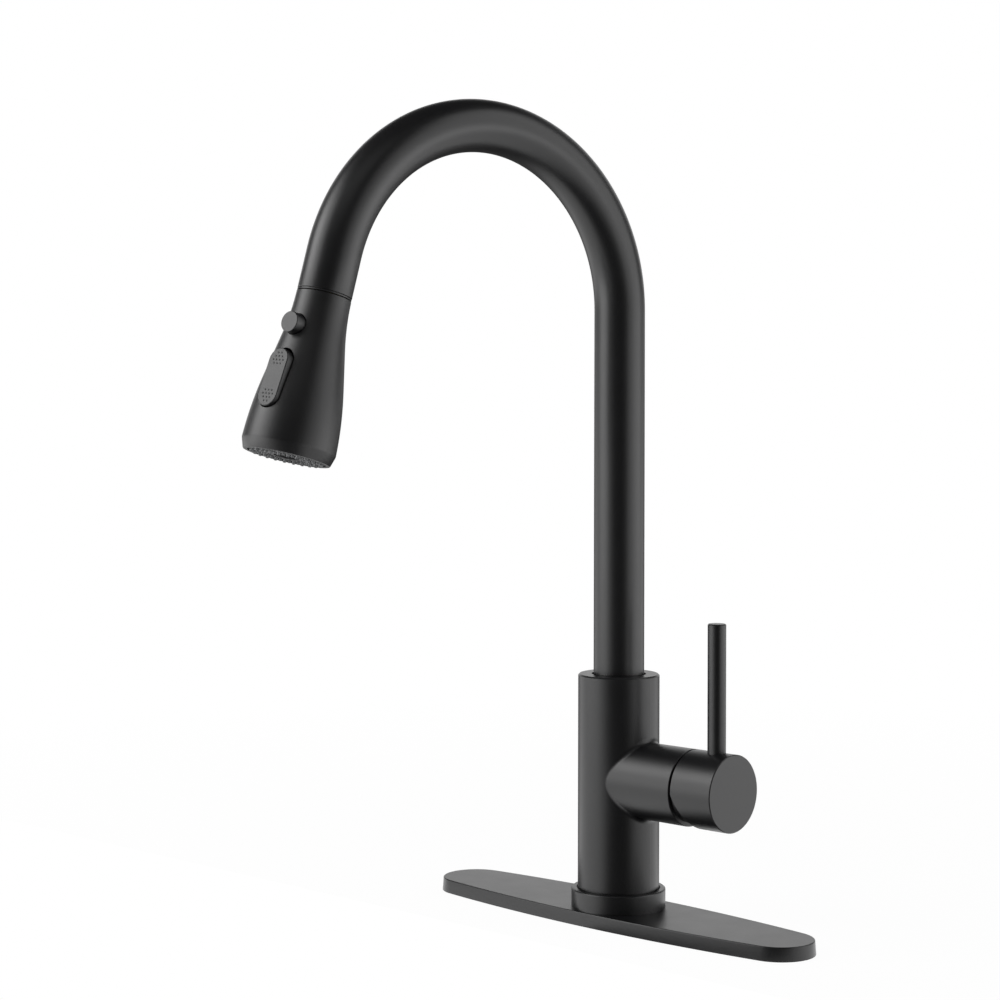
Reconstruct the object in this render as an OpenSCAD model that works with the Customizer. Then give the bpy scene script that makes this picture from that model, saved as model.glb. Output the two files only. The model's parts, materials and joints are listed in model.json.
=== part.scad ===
// Single-handle pull-down kitchen faucet on a deck plate.
// The origin is on the column's axis, in the plane where the plate rests on the sink deck.
// +Z is up, +X runs along the plate towards the handle, and the spout reaches towards -Y.

/* [Deck plate] */
// Overall length of the plate
plate_length = 258; // [250:1:270]
// Overall width of the plate at its middle
plate_width = 55; // [54:0.5:70]
// Radius of the plate's rounded ends
plate_end_radius = 20; // [16:0.5:23]
// Height of the plate above the deck
plate_height = 7.5; // [6.5:0.5:12]
// Wall thickness of the plate's shell
plate_wall = 1.6; // [1:0.1:2]
// Bevel round the plate's top edge
plate_chamfer = 0.6; // [0.3:0.1:1]
// How much the plate's sides lean in from bottom to top
plate_draft = 0.5; // [0.2:0.1:1]
// Thickness of the foam gasket under the plate
gasket_thickness = 1; // [0.8:0.1:1.5]
// Thickness of the backing tray's web and ribs
tray_web = 1.8; // [1.5:0.1:2.2]
// Distance between the backing tray's cross ribs
tray_rib_pitch = 17; // [14:1:24]

/* [Base ring] */
// Outer diameter of the ring at the foot of the column
ring_diameter = 52; // [49:0.5:58]
// Height of the ring
ring_height = 10.5; // [9:0.5:16]
// Bevel on the ring's top edge
ring_chamfer = 1; // [0.4:0.1:1.4]
// Thickness of the floor that carries the column
ring_floor = 3; // [2.5:0.1:4]
// Height of the ring's rubber seal
seal_height = 1.6; // [1.2:0.1:2]

/* [Valve body] */
// Diameter of the column
column_diameter = 45; // [44:0.5:47]
// Height of the column's top above the deck
column_top = 136; // [134:1:160]
// Bevel on the column's top edge
column_chamfer = 0.8; // [0.4:0.1:1.5]
// Diameter of the boss that passes through the ring and the plate
boss_diameter = 37; // [36:0.5:39]
// Radius of the shank thread in the underside
shank_thread_radius = 15.7; // [15:0.1:16]
// Depth of the shank thread
shank_thread_depth = 11; // [9:0.5:14]
// Radius of the open chamber above the shank thread
chamber_radius = 14.8; // [14.6:0.1:14.9]
// Height of the chamber's roof above the deck
chamber_roof = 26; // [22:1:30]
// Radius of the two water inlet threads
inlet_radius = 3.5; // [3:0.1:3.6]
// Depth of the water inlet threads
inlet_depth = 10; // [8:0.5:12]
// Distance of each water inlet from the column's axis
inlet_offset = 11; // [10.9:0.1:11.2]
// Radius of the drilled water ways
drilling_radius = 2; // [1.5:0.1:2.2]
// Radius of the hose channel up the middle of the column
channel_radius = 8.2; // [8:0.1:8.4]
// Height of the hose channel's floor above the deck
channel_floor = 54; // [52:0.5:56]

/* [Side barrel] */
// Height of the valve's axis above the deck
valve_height = 79; // [78:0.5:81]
// Diameter of the barrel and of the handle hub
barrel_diameter = 41.6; // [40.4:0.2:43]
// Distance of the barrel's end face from the column's axis
barrel_reach = 52.3; // [51.5:0.1:54]
// Depth of the cartridge seat inside the barrel's end
seat_depth = 33.3; // [33:0.1:34]
// Bevel on the barrel's end and on the hub's edges
edge_chamfer = 0.4; // [0.2:0.1:0.6]

/* [Cartridge] */
// Outer diameter of the cartridge
cartridge_diameter = 35; // [34:0.2:35.4]
// Thickness of the cartridge's base
cartridge_base_height = 5; // [4:0.1:5.4]
// Thickness of each ceramic disc
disc_thickness = 3; // [2.6:0.1:3.2]
// Radius of the sliding disc
moving_disc_radius = 9.6; // [9.2:0.1:9.7]
// Distance from the stem's pivot down to its ball
stem_arm = 14; // [13.6:0.1:14.6]
// Width of the square stem
stem_width = 8; // [7:0.1:8.4]
// Radius of the stem's pivot pin
pivot_pin_radius = 1.5; // [1.2:0.1:1.8]
// Tilt of the lever from shut to fully open, in degrees
flow_tilt = 22; // [18:0.5:22]

/* [Handle] */
// Gap between the barrel's end and the hub
hub_gap = 0.9; // [0.7:0.1:1.2]
// Length of the hub along the valve's axis
hub_length = 26.8; // [26:0.1:30]
// Wall thickness round the hub's open end
hub_wall = 1.3; // [1.1:0.1:1.5]
// Angle of the relief under the hub, in degrees
relief_angle = 23.7; // [23.5:0.1:26]
// Diameter of the lever rod
lever_diameter = 9.9; // [8:0.1:10.5]
// Height of the lever's tip above the valve's axis
lever_height = 89.5; // [70:0.5:120]
// Distance of the lever from the hub's end face
lever_inset = 11.4; // [11:0.1:12]
// Bevel on the lever's tip
lever_chamfer = 0.5; // [0.3:0.1:1]

/* [Spout] */
// Diameter of the spout tube
tube_diameter = 28; // [27.6:0.1:28.2]
// Wall thickness of the spout tube
tube_wall = 1.3; // [1:0.1:1.5]
// Radius of the arch, to the tube's centre line
arch_radius = 95.5; // [85:0.5:120]
// Height of the arch's centre above the deck
arch_height = 337; // [300:1:380]
// Angle that the arch turns through, in degrees
arch_sweep = 164.8; // [150:0.1:175]
// Straight length of tube after the arch
mouth_length = 21.5; // [18:0.5:40]
// Swing of the spout away from straight ahead, in degrees
spout_turn = -9.6; // [-40:0.1:40]
// Radial gap round the tube where it enters the column
entry_gap = 1.05; // [0.95:0.05:1.2]
// Length of the gland that turns in the column
gland_length = 24; // [24:0.5:26]

/* [Hose] */
// Outer diameter of the hose
hose_diameter = 12.6; // [11:0.1:13]
// Bore of the hose
hose_bore = 8; // [6:0.1:8.4]

/* [Spray head] */
// Length of the head from the mouth of the spout to its rim
head_length = 85; // [84:0.5:90]
// Flare of the head's straight stretch, in degrees
flare_angle = 10.8; // [10:0.1:11.5]
// Distance over which the neck bends into the flare
neck_bend = 26; // [24:0.5:28]
// Distance from the mouth to the end of the straight flare
flare_end = 47.5; // [46:0.5:50]
// Distance from the mouth to the head's shoulder
shoulder_end = 79; // [78:0.5:80]
// Lean of the wall between the shoulder and the rim, in degrees
rim_angle = 17.3; // [14:0.1:20]
// Wall thickness of the head's shell
shell_wall = 2.2; // [1.8:0.1:2.4]
// Turn of the head about its own axis, in degrees
head_turn = -15.6; // [-60:0.1:60]
// Width of the thin ring at the mouth of the spout
dock_ring_width = 0.65; // [0.5:0.05:1.5]
// Width of the dark joint on each side of that ring
dock_joint = 0.35; // [0.3:0.05:0.5]

/* [Pause button] */
// Diameter of the button
button_diameter = 10.8; // [10:0.1:11.5]
// Distance of the button from the mouth
button_station = 20.2; // [19.5:0.1:21.5]
// How far the button stands out of the shell
button_proud = 4.9; // [3.5:0.1:6]
// Travel of the button
button_travel = 2.5; // [1.5:0.1:2.8]

/* [Rocker] */
// Length of the rocker
rocker_length = 30.5; // [28:0.5:31]
// Width of the rocker
rocker_width = 12.3; // [11:0.1:13]
// Distance of the rocker's pin from the mouth
rocker_station = 50.1; // [49.6:0.1:50.6]
// Gap between the rocker's sides and its recess
rocker_gap = 0.5; // [0.4:0.05:0.7]
// Swing of the rocker to each side of level, in degrees
rocker_swing = 3.1; // [2:0.1:5]
// How far the rocker stands out of the shell
rocker_proud = 1.8; // [1:0.1:2.2]

/* [Spray face] */
// Number of nozzles in the outermost circle
outer_nozzles = 24; // [18:1:28]
// How far the nozzles stand out of the face plate
nozzle_proud = 1.6; // [1:0.1:2.5]
// Radius of the nozzles
nozzle_radius = 0.85; // [0.6:0.05:0.95]
// Radius of the aerator in the middle
aerator_radius = 8; // [7:0.1:8.4]

/* [Clearances] */
// Running clearance of a shaft in its bearing
running_gap = 0.05; // [0.02:0.01:0.08]
// Clearance of a piece that is fitted into another
fit_gap = 0.1; // [0.05:0.01:0.2]
// Clearance of a piece that moves past another
moving_gap = 0.3; // [0.25:0.01:0.35]

/* [Hidden] */
$fn = 96;
black = [0.11, 0.11, 0.12];
soft_black = [0.16, 0.16, 0.17];
brass = [0.78, 0.62, 0.32];
steel = [0.75, 0.76, 0.78];
white = [0.9, 0.9, 0.88];
ceramic = [0.96, 0.96, 0.94];
grey = [0.62, 0.62, 0.62];
rubber = [0.2, 0.2, 0.2];
reach_past = 1; // how far a cut runs past the face that it opens
slice = 0.01;   // thickness of the outlines that the plate is hulled from

// Plate and ring
tray_inset = plate_wall + plate_draft + fit_gap;
tray_top = plate_height - plate_wall;
plate_hole_radius = boss_diameter / 2 + moving_gap;
ring_radius = ring_diameter / 2;
ring_top = plate_height + ring_height;
column_foot = plate_height + ring_floor;
seal_middle_radius = (plate_hole_radius + ring_radius) / 2;
seal_half_width = 1;

// Column, gland and spout joint
column_radius = column_diameter / 2;
tube_radius = tube_diameter / 2;
tube_bore_radius = tube_radius - tube_wall;
joint_radius = tube_radius + entry_gap;
gland_radius = joint_radius - running_gap;
mouth_lip = 0.02; // the straight mouth is this much fuller than the arch that it laps over
mouth_lap = 0.2;
gland_seat = 11; // how far the tube stands down inside the column
gland_top = column_top - gland_seat;
gland_bottom = gland_top - gland_length;
washer_thickness = 1;
joint_floor = gland_bottom - running_gap - washer_thickness;
oring_wire = 1.2;
oring_circle = gland_radius - oring_wire - fit_gap;
oring_groove_floor = oring_circle - oring_wire - running_gap;
oring_stations = [7.3, 11.3]; // measured up from the gland's lower end, like the other two
oring_side_room = 0.25;
oring_groove_width = 2 * (oring_wire + oring_side_room);
split_ring_width = 3;
split_ring_depth = 1.4;
split_ring_gap = 2;
split_ring_stations = [1.5, 19.8];
lock_station = 16.2;
lock_height = gland_bottom + lock_station;
lock_groove_depth = 2.4;
lock_groove_floor = gland_radius - lock_groove_depth;
lock_groove_width = 4.4;
lock_tip_gap = 0.4;
lock_tip_step = 0.5;
lock_hex_radius = 1.1;
lock_screw_radius = 2;
lock_screw_length = 6;
gland_spigot_length = 14;
connector_thread = 8;
connector_thread_radius = 6;
connector_collar_radius = 7.8;
connector_nipple = 10;
connector_bore = 2.8;
well_floor = channel_floor - connector_thread - 2 * drilling_radius;

// Valve axis
barrel_radius = barrel_diameter / 2;
cartridge_radius = cartridge_diameter / 2;
seat_bore_radius = cartridge_radius + fit_gap;
nut_bore_step = 0.8;
nut_bore_depth = 9.5;
nut_bore_radius = seat_bore_radius + nut_bore_step;
nut_bore_start = barrel_reach - nut_bore_depth;
seat_reach = barrel_reach - seat_depth;
pivot_inset = 4.3; // how far the lever's pivot lies inside the barrel
pivot_reach = barrel_reach - pivot_inset;
disc_seat = seat_reach + cartridge_base_height;
moving_disc_start = disc_seat + disc_thickness + running_gap;
carrier_start = moving_disc_start + disc_thickness;
carrier_height = 5.8;
carrier_web = 0.8;
carrier_radius = moving_disc_radius + fit_gap;
ball_radius = 3;
ball_reach = pivot_reach - stem_arm;
socket_radius = ball_radius + moving_gap;
housing_wall = 2.2;
housing_bore_radius = cartridge_radius - housing_wall;
housing_step = 1.2;
housing_shoulder = nut_bore_start + housing_step;
housing_lid = 3;
housing_neck_past = 1.5; // past the lever's pivot, like the next one
stem_carrier_past = 2.5;
housing_neck_end = pivot_reach + housing_neck_past;
housing_neck_radius = 12.5;
bearing_radius = 10.2;
stem_carrier_end = pivot_reach + stem_carrier_past;
stem_side_gap = 0.15;
stem_heel = 0.5;
arm_radius = 2.4;
pivot_pin_length = 19;
pin_seat_gap = 0.02;
stem_carrier_flange_radius = housing_bore_radius - moving_gap;
stem_carrier_start = carrier_start + carrier_height + moving_gap;
fixed_disc_radius = housing_bore_radius - fit_gap;
// The mixed outlet and the two inlets: distance from the valve's axis, direction, radius
water_ports = [[4.6, 0, 3.2], [6.5, 120, 2.4], [6.5, 240, 2.4]];
outlet_height = valve_height - water_ports[0][0];
supply_height = valve_height - water_ports[1][0] * cos(water_ports[1][1]);
supply_y = water_ports[1][0] * sin(water_ports[1][1]);
inlet_x = sqrt(inlet_offset * inlet_offset - supply_y * supply_y);
riser_wall = 1.5; // between the outlet's riser and the hose channel
riser_x = channel_radius + riser_wall + drilling_radius;
seal_rim = 1;
seal_depth = 1.2;
mixing_recess_radius = 5;
mixing_recess_offset = 3.2;
nut_height = 4;
nut_bore = housing_neck_radius + moving_gap;
nut_start = housing_shoulder;
nut_notch = 4;
bonnet_gap = 0.45;
bonnet_radius = barrel_radius - hub_wall - bonnet_gap;
bonnet_mouth_radius = 15;
bonnet_skirt_radius = nut_bore_radius - running_gap;
bonnet_skirt_start = nut_start + nut_height + running_gap;
bonnet_wall = 1.6;
bonnet_ring_count = 6;
bonnet_ring_depth = 0.25;

// Handle
hub_start = barrel_reach + hub_gap;
hub_end = hub_start + hub_length;
hub_bore_radius = barrel_radius - hub_wall;
hub_cavity_past = 16.9; // past the lever's pivot
hub_wall_start = pivot_reach + hub_cavity_past;
lever_radius = lever_diameter / 2;
lever_reach = hub_end - lever_inset;
lever_seat_depth = 1;
lever_seat = barrel_radius - lever_seat_depth;
stud_radius = 2.5;
stem_inset = 6.5;
stem_end = hub_end - stem_inset;
stud_room = 1.5;
stud_bottom = stem_width / 2 + stud_room;
hub_screw_radius = 2.5;
hub_screw_length = 8;
hub_screw_shift = 0.8;
hub_screw_reach = lever_reach + hub_screw_shift;
hub_hex_radius = 1.4;
plug_height = 3;
plug_inset = 0.3;

// Mouth of the spout and head, measured from the mouth along the head's axis
mouth_y = -arch_radius * (1 - cos(arch_sweep)) - mouth_length * sin(arch_sweep);
mouth_z = arch_height + arch_radius * sin(arch_sweep) + mouth_length * cos(arch_sweep);
shell_start = 2 * dock_joint + dock_ring_width;
neck_rise = neck_bend * tan(flare_angle / 2);
neck_arc = neck_bend / sin(flare_angle);
flare_radius = tube_radius + neck_rise + (flare_end - neck_bend) * tan(flare_angle);
shoulder_angle = 1.3; // flare that is left at the shoulder
shoulder_round = 3.4;
flank_arc = (shoulder_end - flare_end) / (sin(flare_angle) - sin(shoulder_angle));
shoulder_radius = flare_radius + flank_arc * (cos(shoulder_angle) - cos(flare_angle));
rim_start = shoulder_end + shoulder_round * (sin(shoulder_angle) + sin(rim_angle));
rim_start_radius = shoulder_radius - shoulder_round * (cos(shoulder_angle) - cos(rim_angle));
nut_radius = 9.9;
dock_bore_radius = nut_radius + moving_gap;
dock_depth = 14;
dock_ring_inset = 0.1;
dock_joint_inset = 0.8;
hose_radius = hose_diameter / 2;
connector_collar = 6;
hose_start = channel_floor + connector_collar;
hose_nut_start = -10.5;
ferrule_radius = 7.4;
ferrule_end_gap = 0.5;
ferrule_end = hose_nut_start - ferrule_end_gap;
ferrule_wall = 1;
ferrule_flange_height = 1.6;
swivel_radius = 5;
ferrule_flange_radius = 6.5;
nut_lip = 2.5;
nut_cone = 4.5;
nut_cone_width = 1.4;
nut_seat_gap = 0.2;
neck_thread_radius = 7.9;
neck_start = -3;
hose_washer_height = 2.9;
shell_floor = 2.6;
core_start = shell_start + shell_floor;
core_radius = 11.4;
core_bore_radius = 4.5;
core_bore_depth = 12;
core_channel_radius = 3;
core_flange_past = 17; // past the rocker's pin
core_flange_thickness = 3.5;
core_flange_start = rocker_station + core_flange_past;
core_end = core_flange_start + core_flange_thickness;
core_flange_radius = 20.4;
manifold_height = 8.4;
manifold_wall = 2;
manifold_end = core_end + manifold_height;
face_recess = 0.8;
face_end = head_length - face_recess;
face_thickness = 3;
face_radius = head_radius(face_end) - shell_wall - fit_gap;
nozzle_insets = [2.2, 5.3, 8.4]; // of the three circles of nozzles, from the plate's edge
nozzle_root = 0.5;
aerator_proud = 0.6;
aerator_rim = 1.2;
aerator_dish = 1.4;
aerator_floor = 2;
valve_inset = 1;
valve_throat_radius = 2.4;

// Pause button
button_radius = button_diameter / 2;
button_surface = head_radius(button_station);
button_skirt_depth = 2.4;
button_skirt = button_surface - button_skirt_depth;
button_stem_radius = 2;
button_room = 3.9;
button_floor = button_skirt - button_travel - button_room;
button_stem_past = 3.7;
button_tip = button_floor - button_stem_past;
button_pocket_gap = 0.45;
button_pocket_radius = button_radius + button_pocket_gap;
button_bevel = 0.4;
spring_wire = 0.35;
spring_circle = 3.6;
spring_turns = 4;
spring_steps = 12; // to each turn
spring_sides = 6;

// Rocker
rocker_surface = head_radius(rocker_station);
rocker_lean = atan2(head_radius(rocker_station + rocker_length / 2)
    - head_radius(rocker_station - rocker_length / 2), rocker_length);
rocker_pin_depth = 7.2;
rocker_pin_radius = 1.2;
rocker_thickness = 5;
rocker_pin_y = rocker_surface - rocker_pin_depth;
ear_inner = rocker_width / 2 + rocker_gap;
ear_width = 2;
ear_length = 6;
ear_rim = 0.8;
ear_top = rocker_pin_y + rocker_pin_radius + ear_rim;
rocker_hub_wall = 0.9;
rocker_hub_inset = 1;
rocker_post = 4;
spool_radius = 2.6;
spool_reach = 6.4;
spool_y = rocker_pin_y - spool_reach;
spool_length = 12;
spool_groove_radius = 1.5;
finger_radius = 1.2;
finger_room = 2.4;
finger_length = spool_reach - spool_groove_radius - moving_gap;
shell_steps = 30;
shoulder_steps = 3;
plate_end_steps = 28;
plate_side_steps = 10;

// ---------- shared shapes ----------

// Outer radius of the head at a distance s from the mouth
function head_radius(s) =
    s < neck_bend ? tube_radius + neck_arc - sqrt(neck_arc * neck_arc - s * s)
    : s < flare_end ? tube_radius + neck_rise + (s - neck_bend) * tan(flare_angle)
    : s < shoulder_end ? on_bend(flare_radius, flank_arc, flare_angle, s - flare_end)
    : s < rim_start ? on_bend(shoulder_radius, shoulder_round, shoulder_angle, s - shoulder_end)
    : rim_start_radius - (s - rim_start) * tan(rim_angle);

// Height on an arc of radius r that begins at a height with a slope, after a distance d
function on_bend(height, r, slope, d) = height + r * (sqrt(1 - pow(sin(slope) - d / r, 2)) - cos(slope));

// Stations along the head's wall, from a given one to the rim
function wall_stations(from) = concat(
    [for (i = [0:shell_steps]) from + (shoulder_end - from) * i / shell_steps],
    [for (i = [1:shoulder_steps]) shoulder_end + (rim_start - shoulder_end) * i / shoulder_steps],
    [head_length]);

// Points of a circular arc from angle a to angle b
function arc(centre, r, a, b, steps) =
    [for (i = [0:steps]) centre + r * [cos(a + (b - a) * i / steps), sin(a + (b - a) * i / steps)]];

// Outline of the plate, moved in by a given inset: two wide arcs and two round ends
function plate_outline(inset) =
    let (
        end_centre = plate_length / 2 - plate_end_radius,
        half_width = plate_width / 2,
        side_radius = (end_centre * end_centre + half_width * half_width
            - plate_end_radius * plate_end_radius) / (2 * (half_width - plate_end_radius)),
        lean = asin(end_centre / (side_radius - plate_end_radius)),
        side = side_radius - inset,
        end = plate_end_radius - inset,
        offset_y = half_width - side_radius
    )
    concat(
        arc([end_centre, 0], end, lean - 90, 90 - lean, plate_end_steps),
        [for (i = [1:plate_side_steps - 1]) let (a = 90 - lean + 2 * lean * i / plate_side_steps)
            [0, offset_y] + side * [cos(a), sin(a)]],
        arc([-end_centre, 0], end, 90 + lean, 270 - lean, plate_end_steps),
        [for (i = [1:plate_side_steps - 1]) let (a = 270 - lean + 2 * lean * i / plate_side_steps)
            [0, -offset_y] + side * [cos(a), sin(a)]]
    );

// Outline of a slot with round ends, centred, long in the second direction
function pill(length, width) =
    concat(
        arc([0, (length - width) / 2], width / 2, 0, 180, 12),
        arc([0, (width - length) / 2], width / 2, 180, 360, 12)
    );

module ring(outer, inner, height) {
    difference() {
        cylinder(r = outer, h = height);
        translate([0, 0, -reach_past]) cylinder(r = inner, h = height + 2 * reach_past);
    }
}

// Stands its children on the valve's axis, with their +Z along +X
module on_valve_axis(reach = 0) {
    translate([reach, 0, valve_height]) rotate([0, 90, 0]) children();
}

// Turns its children with the spout
module on_spout() {
    rotate([0, 0, spout_turn]) children();
}

// Puts its children at the mouth, +Z out of the mouth and +Y towards the user
module on_mouth() {
    on_spout() translate([0, mouth_y, mouth_z]) rotate([arch_sweep, 0, 0]) children();
}

// The same, turned with the head
module on_head() {
    on_mouth() rotate([0, 0, head_turn]) children();
}

// Tube or rod along the spout's centre line, from a height up to the mouth
module spout_sweep(outer, inner, from, straight) {
    translate([0, 0, from]) ring(outer, inner, arch_height - from);
    translate([0, -arch_radius, arch_height]) rotate([90, 0, 90]) {
        rotate_extrude(angle = arch_sweep, start = 0)
            translate([arch_radius, 0]) difference() {
                circle(r = outer);
                circle(r = inner);
            }
        if (straight > 0)
            rotate([0, 0, arch_sweep]) translate([arch_radius, -mouth_lap, 0]) rotate([-90, 0, 0])
                ring(outer + mouth_lip, inner - mouth_lip, straight + mouth_lap);
    }
}

// Straight drilling between two points
module drilling(a, b) {
    d = b - a;
    translate(a) rotate([0, atan2(norm([d.x, d.y]), d.z), atan2(d.y, d.x)])
        cylinder(r = drilling_radius, h = norm(d));
}

// ---------- deck plate ----------

module plate_slice(height, inset) {
    translate([0, 0, height]) linear_extrude(slice) polygon(plate_outline(inset));
}

module deck_plate() {
    color(black) difference() {
        hull() {
            plate_slice(0, 0);
            plate_slice(plate_height - plate_chamfer - slice, plate_draft);
            plate_slice(plate_height - slice, plate_draft + plate_chamfer);
        }
        translate([0, 0, -reach_past]) linear_extrude(tray_top + reach_past)
            polygon(plate_outline(plate_wall + plate_draft));
        translate([0, 0, -reach_past]) cylinder(r = plate_hole_radius, h = plate_height + 2 * reach_past);
    }
}

module plate_tray() {
    height = tray_top - gasket_thickness;
    rib_count = floor((plate_length / 2 - plate_end_radius) / tray_rib_pitch);
    color(soft_black) translate([0, 0, gasket_thickness]) difference() {
        linear_extrude(height) polygon(plate_outline(tray_inset));
        difference() {
            translate([0, 0, -reach_past]) linear_extrude(height - tray_web + reach_past)
                polygon(plate_outline(tray_inset + tray_web));
            cylinder(r = plate_hole_radius + tray_web, h = height);
            translate([-plate_length / 2, -tray_web / 2, -reach_past])
                cube([plate_length, tray_web, height + reach_past]);
            for (side = [-1, 1], i = [1:rib_count])
                translate([side * (i + 0.5) * tray_rib_pitch - tray_web / 2, -plate_width, -reach_past])
                    cube([tray_web, 2 * plate_width, height + reach_past]);
        }
        translate([0, 0, -reach_past]) cylinder(r = plate_hole_radius, h = height + 2 * reach_past);
    }
}

module plate_gasket() {
    color(rubber) difference() {
        linear_extrude(gasket_thickness) polygon(plate_outline(tray_inset));
        translate([0, 0, -reach_past]) cylinder(r = plate_hole_radius, h = gasket_thickness + 2 * reach_past);
    }
}

// ---------- base ring ----------

module base_ring() {
    collar = column_radius + fit_gap;
    color(black) difference() {
        rotate_extrude() polygon([
            [plate_hole_radius, plate_height], [ring_radius, plate_height],
            [ring_radius, ring_top - ring_chamfer], [ring_radius - ring_chamfer, ring_top],
            [collar, ring_top], [collar, column_foot], [plate_hole_radius, column_foot]
        ]);
        translate([0, 0, plate_height - reach_past])
            ring(seal_middle_radius + seal_half_width + fit_gap,
                seal_middle_radius - seal_half_width - fit_gap, seal_height + reach_past);
    }
}

module base_seal() {
    color(rubber) translate([0, 0, plate_height])
        ring(seal_middle_radius + seal_half_width, seal_middle_radius - seal_half_width, seal_height);
}

// ---------- valve body ----------

module column() {
    rotate_extrude() polygon([
        [0, column_foot], [column_radius, column_foot], [column_radius, column_top - column_chamfer],
        [column_radius - column_chamfer, column_top], [0, column_top]
    ]);
}

module barrel() {
    on_valve_axis() rotate_extrude() polygon([
        [0, 0], [barrel_radius, 0], [barrel_radius, barrel_reach - edge_chamfer],
        [barrel_radius - edge_chamfer, barrel_reach], [0, barrel_reach]
    ]);
}

// Drilled water ways: two supplies up from the inlets, and the mixed water down to the hose
module water_ways() {
    for (side = [-1, 1]) {
        translate([inlet_x, side * supply_y, chamber_roof - reach_past])
            cylinder(r = inlet_radius, h = inlet_depth + reach_past);
        drilling([inlet_x, side * supply_y, chamber_roof], [inlet_x, side * supply_y, supply_height]);
        drilling([inlet_x, side * supply_y, supply_height],
            [seat_reach + reach_past, side * supply_y, supply_height]);
    }
    drilling([seat_reach + reach_past, 0, outlet_height], [riser_x, 0, outlet_height]);
    drilling([riser_x, 0, outlet_height], [riser_x, 0, well_floor + drilling_radius]);
    drilling([riser_x, 0, well_floor + drilling_radius], [0, 0, well_floor + drilling_radius]);
}

module valve_body() {
    color(black) difference() {
        union() {
            column();
            barrel();
            cylinder(r = boss_diameter / 2, h = column_foot + reach_past);
        }
        translate([0, 0, -reach_past]) cylinder(r = shank_thread_radius, h = shank_thread_depth + reach_past);
        cylinder(r = chamber_radius, h = chamber_roof);
        translate([0, 0, well_floor]) cylinder(r = connector_thread_radius, h = channel_floor);
        translate([0, 0, channel_floor]) cylinder(r = channel_radius, h = joint_floor);
        translate([0, 0, joint_floor]) cylinder(r = joint_radius, h = column_top);
        on_valve_axis(seat_reach) cylinder(r = seat_bore_radius, h = barrel_reach);
        on_valve_axis(nut_bore_start) cylinder(r = nut_bore_radius, h = barrel_reach);
        translate([0, joint_radius - reach_past, lock_height]) rotate([-90, 0, 0])
            cylinder(r = lock_screw_radius, h = column_radius);
        water_ways();
    }
}

module hose_connector() {
    color(brass) difference() {
        union() {
            translate([0, 0, channel_floor - connector_thread])
                cylinder(r = connector_thread_radius - fit_gap, h = connector_thread + reach_past);
            translate([0, 0, channel_floor]) cylinder(r = connector_collar_radius, h = connector_collar);
            translate([0, 0, channel_floor])
                cylinder(r = hose_bore / 2 - fit_gap, h = connector_collar + connector_nipple);
        }
        translate([0, 0, channel_floor - connector_thread - reach_past])
            cylinder(r = connector_bore, h = 2 * (connector_thread + connector_collar + connector_nipple));
    }
}

module thrust_washer() {
    color(white) translate([0, 0, joint_floor])
        ring(joint_radius - fit_gap, channel_radius + fit_gap, washer_thickness);
}

module spout_lock_screw() {
    tip = lock_groove_floor + lock_tip_gap;
    length = joint_radius + lock_screw_length - tip;
    color(steel) translate([0, tip, lock_height]) rotate([-90, 0, 0]) difference() {
        union() {
            cylinder(r = lock_screw_radius - lock_tip_step, h = length);
            translate([0, 0, joint_radius + fit_gap - tip])
                cylinder(r = lock_screw_radius - running_gap, h = lock_screw_length - fit_gap);
        }
        translate([0, 0, length - lock_screw_radius])
            cylinder(r = lock_hex_radius, h = lock_screw_radius + reach_past, $fn = 6);
    }
}

// ---------- cartridge ----------

// Cuts or stands one round child for each water port, grown by a rim
module at_ports(start, height, rim = 0) {
    for (port = water_ports)
        rotate([0, 0, port[1]]) translate([port[0], 0, start]) cylinder(r = port[2] + rim, h = height);
}

module cartridge_seals() {
    color(rubber) on_valve_axis(seat_reach) difference() {
        at_ports(0, seal_depth, seal_rim);
        at_ports(-reach_past, seal_depth + 2 * reach_past, fit_gap);
    }
}

module cartridge_base() {
    color(white) on_valve_axis(seat_reach) difference() {
        cylinder(r = cartridge_radius, h = cartridge_base_height);
        at_ports(-reach_past, cartridge_base_height + 2 * reach_past);
        at_ports(-reach_past, seal_depth + running_gap + reach_past, seal_rim + fit_gap);
    }
}

module fixed_disc() {
    color(ceramic) on_valve_axis(disc_seat) difference() {
        cylinder(r = fixed_disc_radius, h = disc_thickness);
        at_ports(-reach_past, disc_thickness + 2 * reach_past);
    }
}

module cartridge_housing() {
    height = housing_shoulder - disc_seat;
    color(white) on_valve_axis(disc_seat) difference() {
        union() {
            cylinder(r = cartridge_radius, h = height);
            cylinder(r = housing_neck_radius, h = housing_neck_end - disc_seat);
        }
        translate([0, 0, -reach_past])
            cylinder(r = housing_bore_radius, h = height - housing_lid + reach_past);
        cylinder(r = bearing_radius, h = housing_neck_end);
    }
}

module cartridge_nut() {
    color(brass) on_valve_axis(nut_start) difference() {
        ring(nut_bore_radius - running_gap, nut_bore, nut_height);
        for (turn = [0:60:300])
            rotate([0, 0, turn]) translate([nut_bore - reach_past, -nut_notch / 2, nut_height / 2])
                cube([nut_notch, nut_notch, nut_height]);
    }
}

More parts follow.
